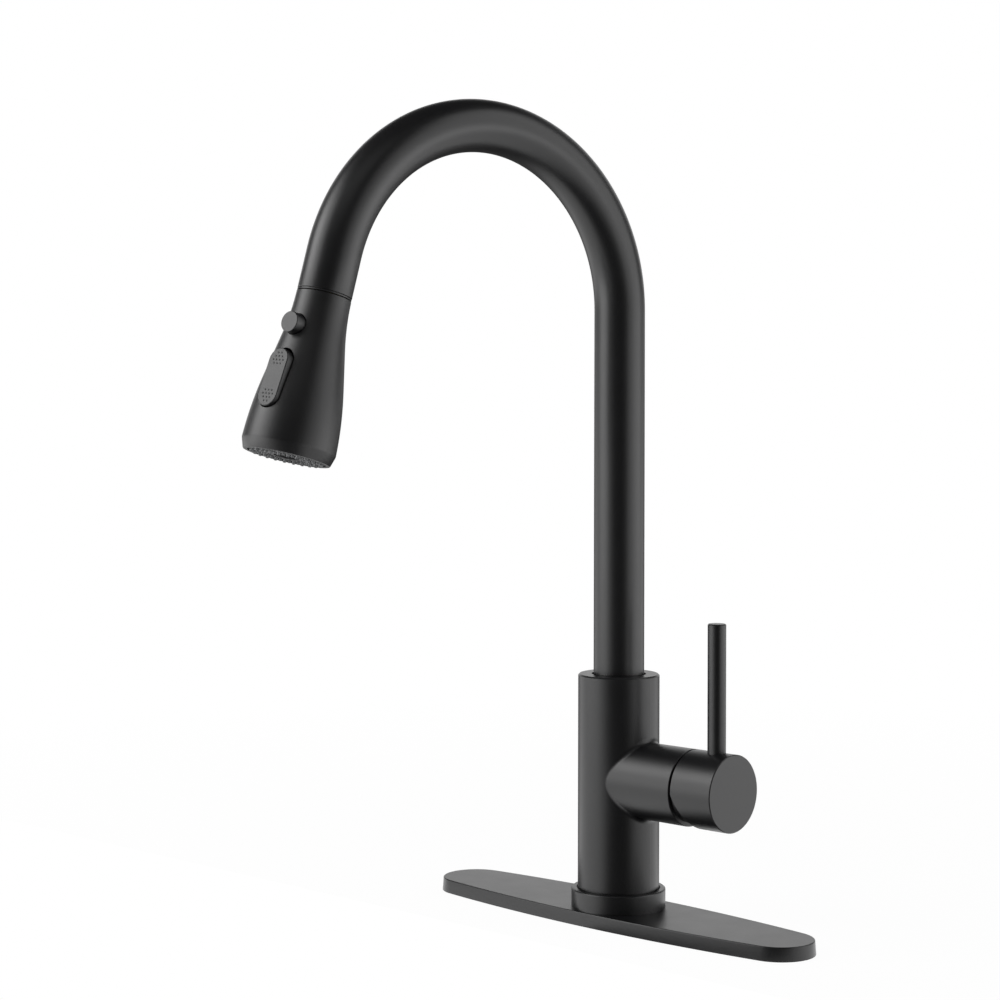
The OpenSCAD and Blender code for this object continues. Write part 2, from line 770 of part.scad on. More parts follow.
// Domed cover whose centre is the lever's pivot, with fine turned steps
module bonnet() {
    rise = barrel_reach - pivot_reach;
    inner_radius = bonnet_radius - bonnet_wall;
    low = asin(rise / bonnet_radius);
    high = acos(bonnet_mouth_radius / bonnet_radius);
    outer_steps = [for (i = [0:bonnet_ring_count - 1])
        let (
            r = bonnet_radius - (i % 2) * bonnet_ring_depth,
            a = low + (high - low) * i / bonnet_ring_count,
            b = low + (high - low) * (i + 1) / bonnet_ring_count
        )
        for (t = [a, b]) [r * cos(t), r * sin(t)]];
    inner_low = asin(rise / inner_radius);
    color(soft_black) on_valve_axis(pivot_reach) rotate_extrude() polygon(concat(
        [[bonnet_skirt_radius, bonnet_skirt_start - pivot_reach], [bonnet_skirt_radius, rise]],
        outer_steps,
        arc([0, 0], inner_radius, high, inner_low, 6),
        [[inner_radius * cos(inner_low), bonnet_skirt_start - pivot_reach]]
    ));
}

module moving_disc() {
    color(ceramic) on_valve_axis(moving_disc_start) difference() {
        cylinder(r = moving_disc_radius, h = disc_thickness);
        translate([mixing_recess_offset, 0, -reach_past])
            cylinder(r = mixing_recess_radius, h = disc_thickness / 2 + reach_past);
    }
}

module disc_carrier() {
    color(grey) on_valve_axis(carrier_start) difference() {
        cylinder(r = carrier_radius, h = carrier_height);
        translate([0, 0, carrier_web]) cylinder(r = socket_radius, h = carrier_height);
    }
}

module stem_carrier() {
    flange = housing_shoulder - housing_lid - fit_gap - stem_carrier_start;
    slot_half = stem_width / 2 + stem_side_gap;
    slot_low = -stem_width / 2 / cos(flow_tilt) - stem_carrier_past * tan(flow_tilt) - moving_gap;
    slot_high = stem_arm * sin(flow_tilt) + ball_radius + moving_gap;
    color(grey) difference() {
        on_valve_axis(stem_carrier_start) {
            cylinder(r = stem_carrier_flange_radius, h = flange);
            cylinder(r = bearing_radius - running_gap, h = stem_carrier_end - stem_carrier_start);
        }
        translate([stem_carrier_start - reach_past, -slot_half, valve_height + slot_low])
            cube([stem_carrier_end, 2 * slot_half, slot_high - slot_low]);
        translate([pivot_reach, -pivot_pin_length, valve_height]) rotate([-90, 0, 0])
            cylinder(r = pivot_pin_radius + pin_seat_gap, h = 2 * pivot_pin_length);
    }
}

module pivot_pin() {
    color(steel) translate([pivot_reach, -pivot_pin_length / 2, valve_height]) rotate([-90, 0, 0])
        cylinder(r = pivot_pin_radius, h = pivot_pin_length);
}

// Square lever shaft whose ball end pushes the sliding disc
module stem() {
    block_start = pivot_reach - stem_width / 2 - stem_heel;
    color(brass) difference() {
        union() {
            on_valve_axis(ball_reach) sphere(r = ball_radius);
            on_valve_axis(ball_reach) cylinder(r = arm_radius, h = pivot_reach - ball_reach);
            translate([block_start, -stem_width / 2, valve_height - stem_width / 2])
                cube([stem_end - block_start, stem_width, stem_width]);
        }
        translate([pivot_reach, -stem_width, valve_height]) rotate([-90, 0, 0])
            cylinder(r = pivot_pin_radius + running_gap, h = 2 * stem_width);
    }
}

// ---------- handle ----------

module handle_hub() {
    socket = stem_width + 2 * fit_gap;
    color(black) difference() {
        on_valve_axis() rotate_extrude() polygon([
            [0, hub_start], [barrel_radius - edge_chamfer, hub_start],
            [barrel_radius, hub_start + edge_chamfer], [barrel_radius, hub_end - edge_chamfer],
            [barrel_radius - edge_chamfer, hub_end], [0, hub_end]
        ]);
        on_valve_axis(hub_start - reach_past)
            cylinder(r = hub_bore_radius, h = hub_wall_start - hub_start + reach_past);
        translate([hub_start, -barrel_diameter, valve_height]) rotate([0, 90 + 90 - relief_angle, 0])
            cube([2 * barrel_diameter, 2 * barrel_diameter, 2 * barrel_diameter]);
        translate([hub_start, -socket / 2, valve_height - socket / 2])
            cube([stem_end - hub_start + fit_gap, socket, socket]);
        translate([lever_reach, 0, valve_height + lever_seat])
            cylinder(r = lever_radius + fit_gap, h = barrel_radius);
        translate([lever_reach, 0, valve_height])
            cylinder(r = stud_radius + running_gap, h = barrel_radius);
        translate([hub_screw_reach, 0, valve_height - barrel_radius - reach_past])
            cylinder(r = hub_screw_radius + running_gap, h = barrel_radius);
    }
}

module lever() {
    foot = lever_seat + fit_gap;
    color(black) translate([lever_reach, 0, valve_height]) rotate_extrude() polygon([
        [0, stud_bottom], [stud_radius, stud_bottom], [stud_radius, foot], [lever_radius, foot],
        [lever_radius, lever_height - lever_chamfer], [lever_radius - lever_chamfer, lever_height],
        [0, lever_height]
    ]);
}

module hub_screw() {
    top = stem_width / 2 + fit_gap;
    color(steel) translate([hub_screw_reach, 0, valve_height - top - hub_screw_length]) difference() {
        cylinder(r = hub_screw_radius, h = hub_screw_length);
        translate([0, 0, -reach_past]) cylinder(r = hub_hex_radius, h = hub_screw_radius + reach_past, $fn = 6);
    }
}

module screw_plug() {
    color(black) translate([hub_screw_reach, 0, valve_height - barrel_radius + plug_inset])
        cylinder(r = hub_screw_radius, h = plug_height);
}

// ---------- spout ----------

module spout_tube() {
    color(black) on_spout() spout_sweep(tube_radius, tube_bore_radius, gland_top, mouth_length);
}

module gland_groove(height, floor, width) {
    translate([0, 0, height - width / 2]) ring(gland_radius + reach_past, floor, width);
}

module spout_gland() {
    color(brass) difference() {
        union() {
            translate([0, 0, gland_bottom]) cylinder(r = gland_radius, h = gland_length);
            translate([0, 0, gland_top]) cylinder(r = tube_bore_radius - running_gap, h = gland_spigot_length);
        }
        translate([0, 0, gland_bottom - reach_past])
            cylinder(r = channel_radius, h = gland_length + gland_spigot_length + 2 * reach_past);
        for (station = oring_stations)
            gland_groove(gland_bottom + station, oring_groove_floor, oring_groove_width);
        for (station = split_ring_stations)
            gland_groove(gland_bottom + station + split_ring_width / 2,
                gland_radius - split_ring_depth - running_gap, split_ring_width + 2 * running_gap);
        gland_groove(lock_height, lock_groove_floor, lock_groove_width);
    }
}

module gland_orings() {
    color(rubber) for (station = oring_stations)
        translate([0, 0, gland_bottom + station]) rotate_extrude()
            translate([oring_circle, 0]) circle(r = oring_wire);
}

module swivel_rings() {
    color(white) for (station = split_ring_stations)
        translate([0, 0, gland_bottom + station]) difference() {
            ring(gland_radius, gland_radius - split_ring_depth, split_ring_width);
            translate([0, -split_ring_gap / 2, -reach_past])
                cube([2 * gland_radius, split_ring_gap, split_ring_width + 2 * reach_past]);
        }
}

module dock_bush() {
    ring_outer = tube_radius - dock_ring_inset;
    joint_outer = tube_radius - dock_joint_inset;
    color(soft_black) on_mouth() rotate_extrude() polygon([
        [dock_bore_radius, -dock_depth], [tube_bore_radius - running_gap, -dock_depth],
        [tube_bore_radius - running_gap, 0], [joint_outer, 0], [joint_outer, dock_joint],
        [ring_outer, dock_joint], [ring_outer, dock_joint + dock_ring_width],
        [dock_bore_radius, dock_joint + dock_ring_width]
    ]);
}

// ---------- hose ----------

module hose() {
    color(rubber) on_spout() spout_sweep(hose_radius, hose_bore / 2, hose_start, 0);
}

module hose_ferrule() {
    bore = hose_bore / 2 - ferrule_wall;
    flange_end = neck_start - hose_washer_height - 2 * running_gap;
    color(steel) on_mouth() rotate_extrude() polygon([
        [bore, -mouth_length], [ferrule_radius, -mouth_length], [ferrule_radius, ferrule_end],
        [swivel_radius - running_gap, ferrule_end],
        [swivel_radius - running_gap, flange_end - ferrule_flange_height],
        [ferrule_flange_radius, flange_end - ferrule_flange_height],
        [ferrule_flange_radius, flange_end], [bore, flange_end]
    ]);
}

module hose_nut() {
    chamber = ferrule_flange_radius + moving_gap;
    chamber_start = hose_nut_start + nut_lip;
    thread = neck_thread_radius + running_gap;
    color(brass) on_head() rotate_extrude() polygon([
        [swivel_radius, hose_nut_start], [nut_radius - nut_cone_width, hose_nut_start],
        [nut_radius, hose_nut_start + nut_cone], [nut_radius, shell_start], [thread, shell_start],
        [thread, neck_start - nut_seat_gap], [chamber, neck_start - nut_seat_gap], [chamber, chamber_start],
        [swivel_radius, chamber_start]
    ]);
}

module hose_washer() {
    color(rubber) on_head() translate([0, 0, neck_start - hose_washer_height - running_gap])
        ring(ferrule_flange_radius, core_bore_radius, hose_washer_height);
}

// ---------- spray head ----------

module shell_opening_for_rocker() {
    on_rocker(0) translate([0, 0, -rocker_pin_depth / 2])
        linear_extrude(3 * rocker_pin_depth)
            polygon(pill(rocker_length + 4 * rocker_gap, rocker_width + 2 * rocker_gap));
}

module head_shell() {
    inside = wall_stations(core_start);
    color(black) on_head() difference() {
        rotate_extrude() polygon(concat(
            [for (s = wall_stations(shell_start)) [head_radius(s), s]],
            [for (i = [len(inside) - 1:-1:0]) [head_radius(inside[i]) - shell_wall, inside[i]]],
            [[neck_thread_radius + moving_gap, core_start], [neck_thread_radius + moving_gap, shell_start]]
        ));
        translate([0, button_floor, button_station]) rotate([-90, 0, 0])
            cylinder(r = button_radius + moving_gap, h = 2 * shoulder_radius);
        shell_opening_for_rocker();
    }
}

// Stands its children on the rocker's pin, +Z out of the head, +Y towards the rim
module on_rocker(tilt) {
    translate([0, rocker_pin_y, rocker_station]) rotate([90, 0, 180]) rotate([rocker_lean + tilt, 0, 0])
        children();
}

module rocker() {
    color(soft_black) on_head() difference() {
        union() {
            on_rocker(-rocker_swing) translate([0, 0, rocker_pin_depth + rocker_proud - rocker_thickness])
                linear_extrude(rocker_thickness) polygon(pill(rocker_length, rocker_width));
            translate([rocker_hub_inset - rocker_width / 2, rocker_pin_y, rocker_station]) rotate([0, 90, 0])
                cylinder(r = rocker_pin_radius + rocker_hub_wall, h = rocker_width - 2 * rocker_hub_inset);
            on_rocker(-rocker_swing) translate([-rocker_post / 2, -rocker_post / 2, 0])
                cube([rocker_post, rocker_post, rocker_pin_depth - reach_past]);
            on_rocker(-rocker_swing - rocker_lean) translate([0, 0, -finger_length])
                cylinder(r = finger_radius, h = finger_length);
        }
        translate([-rocker_width, rocker_pin_y, rocker_station]) rotate([0, 90, 0])
            cylinder(r = rocker_pin_radius + running_gap, h = 2 * rocker_width);
    }
}

module rocker_pin() {
    length = 2 * (ear_inner + ear_width);
    color(steel) on_head() translate([-length / 2, rocker_pin_y, rocker_station]) rotate([0, 90, 0])
        cylinder(r = rocker_pin_radius, h = length);
}

module head_core() {
    color(white) on_head() difference() {
        union() {
            translate([0, 0, neck_start])
                cylinder(r = neck_thread_radius, h = core_start - neck_start + reach_past);
            translate([0, 0, core_start]) cylinder(r = core_radius, h = core_end - core_start);
            translate([0, 0, core_flange_start]) cylinder(r = core_flange_radius, h = core_flange_thickness);
            for (left = [-ear_inner - ear_width, ear_inner])
                translate([left, 0, rocker_station - ear_length / 2]) cube([ear_width, ear_top, ear_length]);
        }
        translate([0, 0, neck_start - reach_past])
            cylinder(r = core_bore_radius, h = core_bore_depth - neck_start + reach_past);
        cylinder(r = core_channel_radius, h = core_end + reach_past);
        translate([0, button_floor, button_station]) rotate([-90, 0, 0])
            cylinder(r = button_pocket_radius, h = core_radius);
        translate([0, 0, button_station]) rotate([-90, 0, 0])
            cylinder(r = button_stem_radius + running_gap, h = core_radius);
        translate([0, spool_y, rocker_station - spool_length])
            cylinder(r = spool_radius + running_gap, h = 2 * spool_length);
        translate([-finger_radius - moving_gap, spool_y, rocker_station - finger_room])
            cube([2 * (finger_radius + moving_gap), core_radius, 2 * finger_room]);
        translate([-rocker_width, rocker_pin_y, rocker_station]) rotate([0, 90, 0])
            cylinder(r = rocker_pin_radius + pin_seat_gap, h = 2 * rocker_width);
    }
}

module diverter_spool() {
    shift = -spool_reach * sin(rocker_swing);
    groove = 2 * (finger_radius + moving_gap);
    color(grey) on_head() translate([0, spool_y, rocker_station + shift]) difference() {
        translate([0, 0, -spool_length / 2]) cylinder(r = spool_radius, h = spool_length);
        translate([0, 0, -groove / 2]) ring(spool_radius + reach_past, spool_groove_radius, groove);
    }
}

module check_valve() {
    color(grey) on_head() translate([0, 0, neck_start + valve_inset]) difference() {
        cylinder(r = core_bore_radius - running_gap, h = core_bore_depth - neck_start - valve_inset);
        translate([0, 0, -reach_past]) cylinder(r = valve_throat_radius, h = 2 * core_bore_depth);
    }
}

module spray_manifold() {
    color(white) on_head() translate([0, 0, core_end]) difference() {
        cylinder(r = core_flange_radius, h = manifold_height);
        translate([0, 0, -reach_past]) cylinder(r = core_channel_radius, h = manifold_height + 2 * reach_past);
        translate([0, 0, manifold_wall])
            ring(core_flange_radius - manifold_wall, aerator_radius + manifold_wall, manifold_height);
    }
}

// Places a child at every nozzle, in three circles with like spacing
module at_nozzles() {
    outermost = face_radius - nozzle_insets[0];
    for (inset = nozzle_insets) {
        circle_radius = face_radius - inset;
        count = round(outer_nozzles * circle_radius / outermost);
        for (i = [0:count - 1]) rotate([0, 0, 360 * i / count]) translate([circle_radius, 0, 0]) children();
    }
}

module nozzle_plate() {
    color(grey) on_head() difference() {
        translate([0, 0, face_end - face_thickness]) cylinder(r = face_radius, h = face_thickness);
        translate([0, 0, manifold_end]) cylinder(r = aerator_radius + fit_gap, h = head_length);
        at_nozzles() translate([0, 0, manifold_end])
            cylinder(r = nozzle_radius + fit_gap, h = head_length, $fn = 24);
    }
}

module nozzle_pad() {
    color(grey) on_head() {
        difference() {
            translate([0, 0, manifold_end])
                cylinder(r = core_flange_radius, h = face_end - face_thickness - manifold_end);
            translate([0, 0, manifold_end - reach_past])
                cylinder(r = aerator_radius + fit_gap, h = head_length);
        }
        at_nozzles() translate([0, 0, manifold_end + nozzle_root])
            cylinder(r = nozzle_radius, h = face_end + nozzle_proud - manifold_end - nozzle_root, $fn = 24);
    }
}

module aerator() {
    height = face_end - manifold_end + aerator_proud;
    color(grey) on_head() translate([0, 0, manifold_end]) difference() {
        cylinder(r = aerator_radius, h = height);
        translate([0, 0, height - aerator_dish])
            cylinder(r = aerator_radius - aerator_rim, h = aerator_dish + reach_past);
        translate([0, 0, -reach_past]) cylinder(r = core_channel_radius, h = aerator_floor + reach_past);
    }
}

module pause_button() {
    top = button_surface + button_proud;
    color(black) on_head() translate([0, 0, button_station]) rotate([-90, 0, 0]) rotate_extrude() polygon([
        [0, button_tip], [button_stem_radius, button_tip], [button_stem_radius, button_skirt],
        [button_radius, button_skirt], [button_radius, top - button_bevel], [button_radius - button_bevel, top],
        [0, top]
    ]);
}

// One helical wire with square-cut ends
module pause_spring() {
    steps = spring_turns * spring_steps;
    last = spring_sides - 1;
    length = button_skirt - button_floor - 2 * spring_wire - 2 * fit_gap;
    rings = [for (i = [0:steps]) let (turn = 360 * spring_turns * i / steps)
        [for (k = [0:last]) let (a = 360 * k / spring_sides, r = spring_circle + spring_wire * cos(a))
            [r * cos(turn), r * sin(turn), length * i / steps + spring_wire * sin(a)]]];
    points = [for (ring_points = rings) for (p = ring_points) p];
    sides = [for (i = [0:steps - 1]) for (k = [0:last])
        let (a = spring_sides * i + k, b = spring_sides * i + (k + 1) % spring_sides)
        for (face = [[a, b + spring_sides, b], [a, a + spring_sides, b + spring_sides]]) face];
    caps = [[for (k = [0:last]) k], [for (k = [last:-1:0]) spring_sides * steps + k]];
    color(steel) on_head() translate([0, button_floor + spring_wire + fit_gap, button_station])
        rotate([-90, 0, 0]) polyhedron(points, concat(sides, caps));
}

deck_plate();
plate_tray();
plate_gasket();
base_ring();
base_seal();
valve_body();
hose_connector();
thrust_washer();
spout_lock_screw();
cartridge_seals();
cartridge_base();
fixed_disc();
cartridge_housing();
cartridge_nut();
bonnet();
moving_disc();
disc_carrier();
stem_carrier();
pivot_pin();
stem();
handle_hub();
lever();
hub_screw();
screw_plug();
spout_tube();
spout_gland();
gland_orings();
swivel_rings();
dock_bush();
hose();
hose_ferrule();
hose_nut();
hose_washer();
head_shell();
head_core();
check_valve();
spray_manifold();
nozzle_plate();
nozzle_pad();
aerator();
rocker();
rocker_pin();
diverter_spool();
pause_button();
pause_spring();
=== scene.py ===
import json
import math

import bmesh
import bpy
from mathutils import Matrix, Vector


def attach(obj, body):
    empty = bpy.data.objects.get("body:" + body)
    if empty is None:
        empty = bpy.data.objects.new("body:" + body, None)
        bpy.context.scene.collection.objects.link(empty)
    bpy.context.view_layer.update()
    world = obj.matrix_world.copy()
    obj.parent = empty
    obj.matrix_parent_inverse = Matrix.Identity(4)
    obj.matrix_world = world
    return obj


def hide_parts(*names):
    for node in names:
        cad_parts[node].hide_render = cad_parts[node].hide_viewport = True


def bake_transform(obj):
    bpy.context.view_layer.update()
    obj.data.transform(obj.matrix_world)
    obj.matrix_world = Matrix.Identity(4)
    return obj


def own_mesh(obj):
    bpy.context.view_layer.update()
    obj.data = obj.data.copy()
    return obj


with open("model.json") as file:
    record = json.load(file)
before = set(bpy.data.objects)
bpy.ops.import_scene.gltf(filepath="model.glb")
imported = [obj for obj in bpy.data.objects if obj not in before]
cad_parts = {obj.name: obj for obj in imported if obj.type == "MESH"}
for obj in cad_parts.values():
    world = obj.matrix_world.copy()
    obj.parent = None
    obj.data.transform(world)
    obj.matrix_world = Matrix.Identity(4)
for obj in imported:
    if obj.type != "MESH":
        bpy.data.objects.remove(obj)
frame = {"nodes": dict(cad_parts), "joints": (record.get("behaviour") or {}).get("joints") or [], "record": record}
nodes = frame["nodes"]
joints = {joint["name"]: joint for joint in frame["joints"]}
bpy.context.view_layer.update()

# ---------------------------------------------------------------- camera
# A level camera with a long lens stands at the right-hand front corner of the sink, at the
# height of the spout's shoulders. Its lens is shifted so that the whole faucet fits.
camera_place = Vector((0.8239, -0.9655, 0.2962))
camera_heading = math.radians(43.465)
camera_roll = 0.0023
camera = bpy.data.objects.new("camera", bpy.data.cameras.new("camera"))
camera.data.sensor_width = 36
camera.data.lens = 82.394
camera.data.shift_y = -0.1162
camera.location = camera_place
camera.rotation_euler = (math.pi / 2, -camera_roll, camera_heading)
bpy.context.scene.collection.objects.link(camera)
bpy.context.scene.camera = camera
bpy.context.scene.view_settings.view_transform = "Standard"

# ---------------------------------------------------------------- powder coat
# The metal pieces are blasted and coated with a fine matte black powder, baked on. It is
# nearly even, with a grain that only shows in the highlights.


class Signal:
    """A shader socket. Sums and products of signals add the Math nodes that they need."""

    def __init__(self, tree, socket):
        self.tree = tree
        self.socket = socket

    def node(self, kind, settings, inputs, output=0):
        made = self.tree.nodes.new(kind)
        for name, value in settings.items():
            setattr(made, name, value)
        for name, value in inputs.items():
            if isinstance(value, Signal):
                self.tree.links.new(value.socket, made.inputs[name])
            else:
                made.inputs[name].default_value = value
        return Signal(self.tree, made.outputs[output])

    def output(self, name):
        """Another output of the node that this signal comes from."""
        return Signal(self.tree, self.socket.node.outputs[name])

    def math(self, operation, first, second):
        return self.node("ShaderNodeMath", {"operation": operation}, {0: first, 1: second})

    def __add__(self, other):
        return self.math("ADD", self, other)

    def __sub__(self, other):
        return self.math("SUBTRACT", self, other)

    def __rsub__(self, other):
        return self.math("SUBTRACT", other, self)

    def __mul__(self, other):
        return self.math("MULTIPLY", self, other)

    __radd__ = __add__
    __rmul__ = __mul__


class Finish:
    """A procedural material: one shader, and the wires that lead to it."""

    def __init__(self, name, **numbers):
        self.material = bpy.data.materials.new(name)
        self.material.use_nodes = True
        self.tree = self.material.node_tree
        self.shader = self.tree.nodes["Principled BSDF"]
        for socket, value in numbers.items():
            self.shader.inputs[socket.replace("_", " ")].default_value = value
        self.place = self.node("ShaderNodeTexCoord", {}, {}, "Object")

    def node(self, kind, settings, inputs, output=0):
        return Signal(self.tree, None).node(kind, settings, inputs, output)

    def noise(self, size, detail=2.0):
        """Cloudy noise around 0.5, with lumps of the given size in metres."""
        inputs = {"Vector": self.place, "Scale": 1 / size, "Detail": detail}
        return self.node("ShaderNodeTexNoise", {}, inputs, "Fac")

    def colour(self, factor, first, second):
        """A colour between two, set by factor, into Base Color."""
        inputs = {0: factor, 6: (*first, 1), 7: (*second, 1)}
        mixed = self.node("ShaderNodeMix", {"data_type": "RGBA"}, inputs, 2)
        self.tree.links.new(mixed.socket, self.shader.inputs["Base Color"])

    def roughness(self, signal):
        self.tree.links.new(signal.socket, self.shader.inputs["Roughness"])

    def bump(self, height, depth):
        """Raises the surface by height, a signal from 0 to 1, times a depth in metres."""
        inputs = {"Height": height, "Distance": depth, "Strength": 1.0}
        bumped = self.node("ShaderNodeBump", {}, inputs, "Normal")
        self.tree.links.new(bumped.socket, self.shader.inputs["Normal"])


def powder_coat(name, base, shine):
    coat = Finish(name, Specular_IOR_Level=0.5)
    haze = coat.noise(0.012, 3)
    grain = coat.noise(0.00035, 1)
    coat.colour(haze, [tone * 0.85 for tone in base], [tone * 1.15 for tone in base])
    coat.roughness(haze * 0.05 + grain * 0.04 + (shine - 0.045))
    coat.bump(grain, 0.000012)
    return coat.material


coat_black = powder_coat("powder coat", (0.0052, 0.0052, 0.0058), 0.36)


def dress(material, slot, *names):
    """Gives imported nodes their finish."""
    for name in names:
        piece = nodes[name]
        piece.data.materials.clear()
        piece.data.materials.append(material)


dress(coat_black, "matte_black", "valve_body", "handle_hub", "lever")

# ---------------------------------------------------------------- deck plate
# A shallow zinc casting with two wide curved sides and round ends, a slightly leaning wall
# and a softened top edge. It is hollow below, and the column's boss passes through it.
plate_half_length = 0.129
plate_half_width = 0.0275
plate_end_radius = 0.020
plate_height = 0.0075
plate_wall = 0.0016
plate_lean = 0.0005
plate_edge = 0.0006
plate_hole_radius = 0.0188
end_steps = 28
side_steps = 44
hole_steps = 96
weld = 1e-6
flat_top = 0.9999


def settle(bm, name, material, body, place=None, sharp=35):
    """Makes an object of a mesh on its body. Edges over an angle stay sharp, level faces flat."""
    bm.normal_update()
    for face in bm.faces:
        face.smooth = abs(face.normal.z) < flat_top
    for edge in bm.edges:
        edge.smooth = edge.calc_face_angle(0) < math.radians(sharp)
    if place is not None:
        bm.transform(place)
    mesh = bpy.data.meshes.new(name)
    bm.to_mesh(mesh)
    bm.free()
    piece = bpy.data.objects.new(name, mesh)
    bpy.context.scene.collection.objects.link(piece)
    mesh.materials.append(material)
    if body:
        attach(piece, body)
    return piece


def rim_of(verts):
    """The edges at these corners, each once, always in the same order."""
    return list(dict.fromkeys(edge for vert in verts for edge in vert.link_edges))


def corners_in(made):
    """The corners in what an operator made."""
    return [item for item in made if isinstance(item, bmesh.types.BMVert)]


def edges_in(made, corners):
    """The edges in what an operator made, with both ends among the corners."""
    edges = [item for item in made if isinstance(item, bmesh.types.BMEdge)]
    return [edge for edge in edges if all(vert in corners for vert in edge.verts)]


def plate_loop(bm, inset, height):
    """One closed outline of the plate at a height: two round ends and two wide sides."""
    end_x = plate_half_length - plate_end_radius
    side_radius = (end_x**2 + plate_half_width**2 - plate_end_radius**2) / 2
    side_radius = side_radius / (plate_half_width - plate_end_radius)
    lean = math.asin(end_x / (side_radius - plate_end_radius))
    start = Matrix.Rotation(lean - math.pi / 2, 4, "Z") @ Vector((plate_end_radius - inset, 0, 0))
    tip = bm.verts.new(start + Vector((end_x, 0, height)))
    loop = [tip]
    bends = [
        ((end_x, 0, height), math.pi - 2 * lean, end_steps),
        ((0, plate_half_width - side_radius, height), 2 * lean, side_steps),
        ((-end_x, 0, height), math.pi - 2 * lean, end_steps),
        ((0, side_radius - plate_half_width, height), 2 * lean, side_steps),
    ]
    for centre, angle, steps in bends:
        before = set(bm.verts)
        swept = bmesh.ops.spin(
            bm, geom=[tip], cent=centre, axis=(0, 0, 1), angle=angle, steps=steps, use_merge=False
        )
        loop += [vert for vert in bm.verts if vert not in before]
        tip = corners_in(swept["geom_last"])[0]
    bmesh.ops.remove_doubles(bm, verts=loop, dist=weld)
    return rim_of([vert for vert in loop if vert.is_valid])


bm = bmesh.new()
top_inset = plate_lean + plate_edge
levels = [(plate_wall + plate_lean, 0), (0, 0), (plate_lean, plate_height - plate_edge)]
for turn in (22.5, 45, 67.5, 90):
    angle = math.radians(turn)
    rise = plate_edge * math.sin(angle)
    levels.append((top_inset - plate_edge * math.cos(angle), plate_height - plate_edge + rise))
loops = [plate_loop(bm, inset, height) for inset, height in levels]
ceiling = plate_loop(bm, plate_wall + plate_lean, plate_height - plate_wall)
holes = []
for height in (plate_height, plate_height - plate_wall):
    hole_place = Matrix.Translation((0, 0, height))
    hole = bmesh.ops.create_circle(bm, segments=hole_steps, radius=plate_hole_radius, matrix=hole_place)
    holes.append(rim_of(hole["verts"]))
for first, second in [*zip(loops, loops[1:]), holes, (ceiling, loops[0])]:
    bmesh.ops.bridge_loops(bm, edges=first + second)
for outline, hole in ((loops[-1], holes[0]), (ceiling, holes[1])):
    bmesh.ops.triangle_fill(bm, edges=outline + hole, use_beauty=True)
bmesh.ops.recalc_face_normals(bm, faces=bm.faces)
deck_plate = settle(bm, "deck_plate_casting", coat_black, "base")
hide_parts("deck_plate")

# ---------------------------------------------------------------- base ring
# A turned collar that hides the gap between column and plate. Its top edge is rounded, and a
# narrow groove runs round the column inside it.
ring_radius = 0.026
ring_top = 0.018
ring_floor = 0.0105
ring_edge = 0.0009
collar_radius = 0.0226
groove_width = 0.0005
groove_depth = 0.0012


def outline_start(bm, x, z):
    """First point of an outline in the XZ plane, which is later turned about Z."""
    return bm.verts.new((x, 0, z))


def outline_to(bm, tip, x, z):
    """Carries an outline straight on to a point."""
    corner = bmesh.ops.extrude_vert_indiv(bm, verts=[tip])["verts"][0]
    corner.co = (x, 0, z)
    return corner


def outline_round(bm, tip, centre, degrees, steps):
    """Carries an outline on along an arc, clockwise when x is right and z is up."""
    swept = bmesh.ops.spin(
        bm, geom=[tip], cent=(centre[0], 0, centre[1]), axis=(0, 1, 0),
        angle=math.radians(degrees), steps=steps, use_merge=False,
    )
    return corners_in(swept["geom_last"])[0]


def turn_outline(bm, steps=96):
    """Turns the outline into a solid of revolution about Z."""
    bmesh.ops.spin(
        bm, geom=bm.verts[:] + bm.edges[:], cent=(0, 0, 0), axis=(0, 0, 1),
        angle=math.tau, steps=steps, use_merge=True,
    )
    bmesh.ops.remove_doubles(bm, verts=bm.verts, dist=weld)
    bmesh.ops.recalc_face_normals(bm, faces=bm.faces)


bm = bmesh.new()
first = outline_start(bm, plate_hole_radius, plate_height)
tip = outline_to(bm, first, ring_radius, plate_height)
tip = outline_to(bm, tip, ring_radius, ring_top - ring_edge)
tip = outline_round(bm, tip, (ring_radius - ring_edge, ring_top - ring_edge), -90, 6)
tip = outline_to(bm, tip, collar_radius + groove_width, ring_top)
tip = outline_to(bm, tip, collar_radius + groove_width, ring_top - groove_depth)
tip = outline_to(bm, tip, collar_radius, ring_top - groove_depth)
tip = outline_to(bm, tip, collar_radius, ring_floor)
tip = outline_to(bm, tip, plate_hole_radius, ring_floor)
bm.edges.new((tip, first))
turn_outline(bm, 128)
base_ring = settle(bm, "base_ring_turned", coat_black, "base")
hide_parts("base_ring")

# ---------------------------------------------------------------- barrel fillet
# The side barrel is cast in one piece with the column, and a small fillet runs round the
# corner between them. A ball rolled along the corner gives its shape.
column_radius = 0.0225
barrel_radius = 0.0208
fillet_radius = 0.003
fillet_root = 0.0004
valve_height = joints["handle_flow"]["pos_m"][2]
fillet_steps = 8
fillet_turn_steps = 160

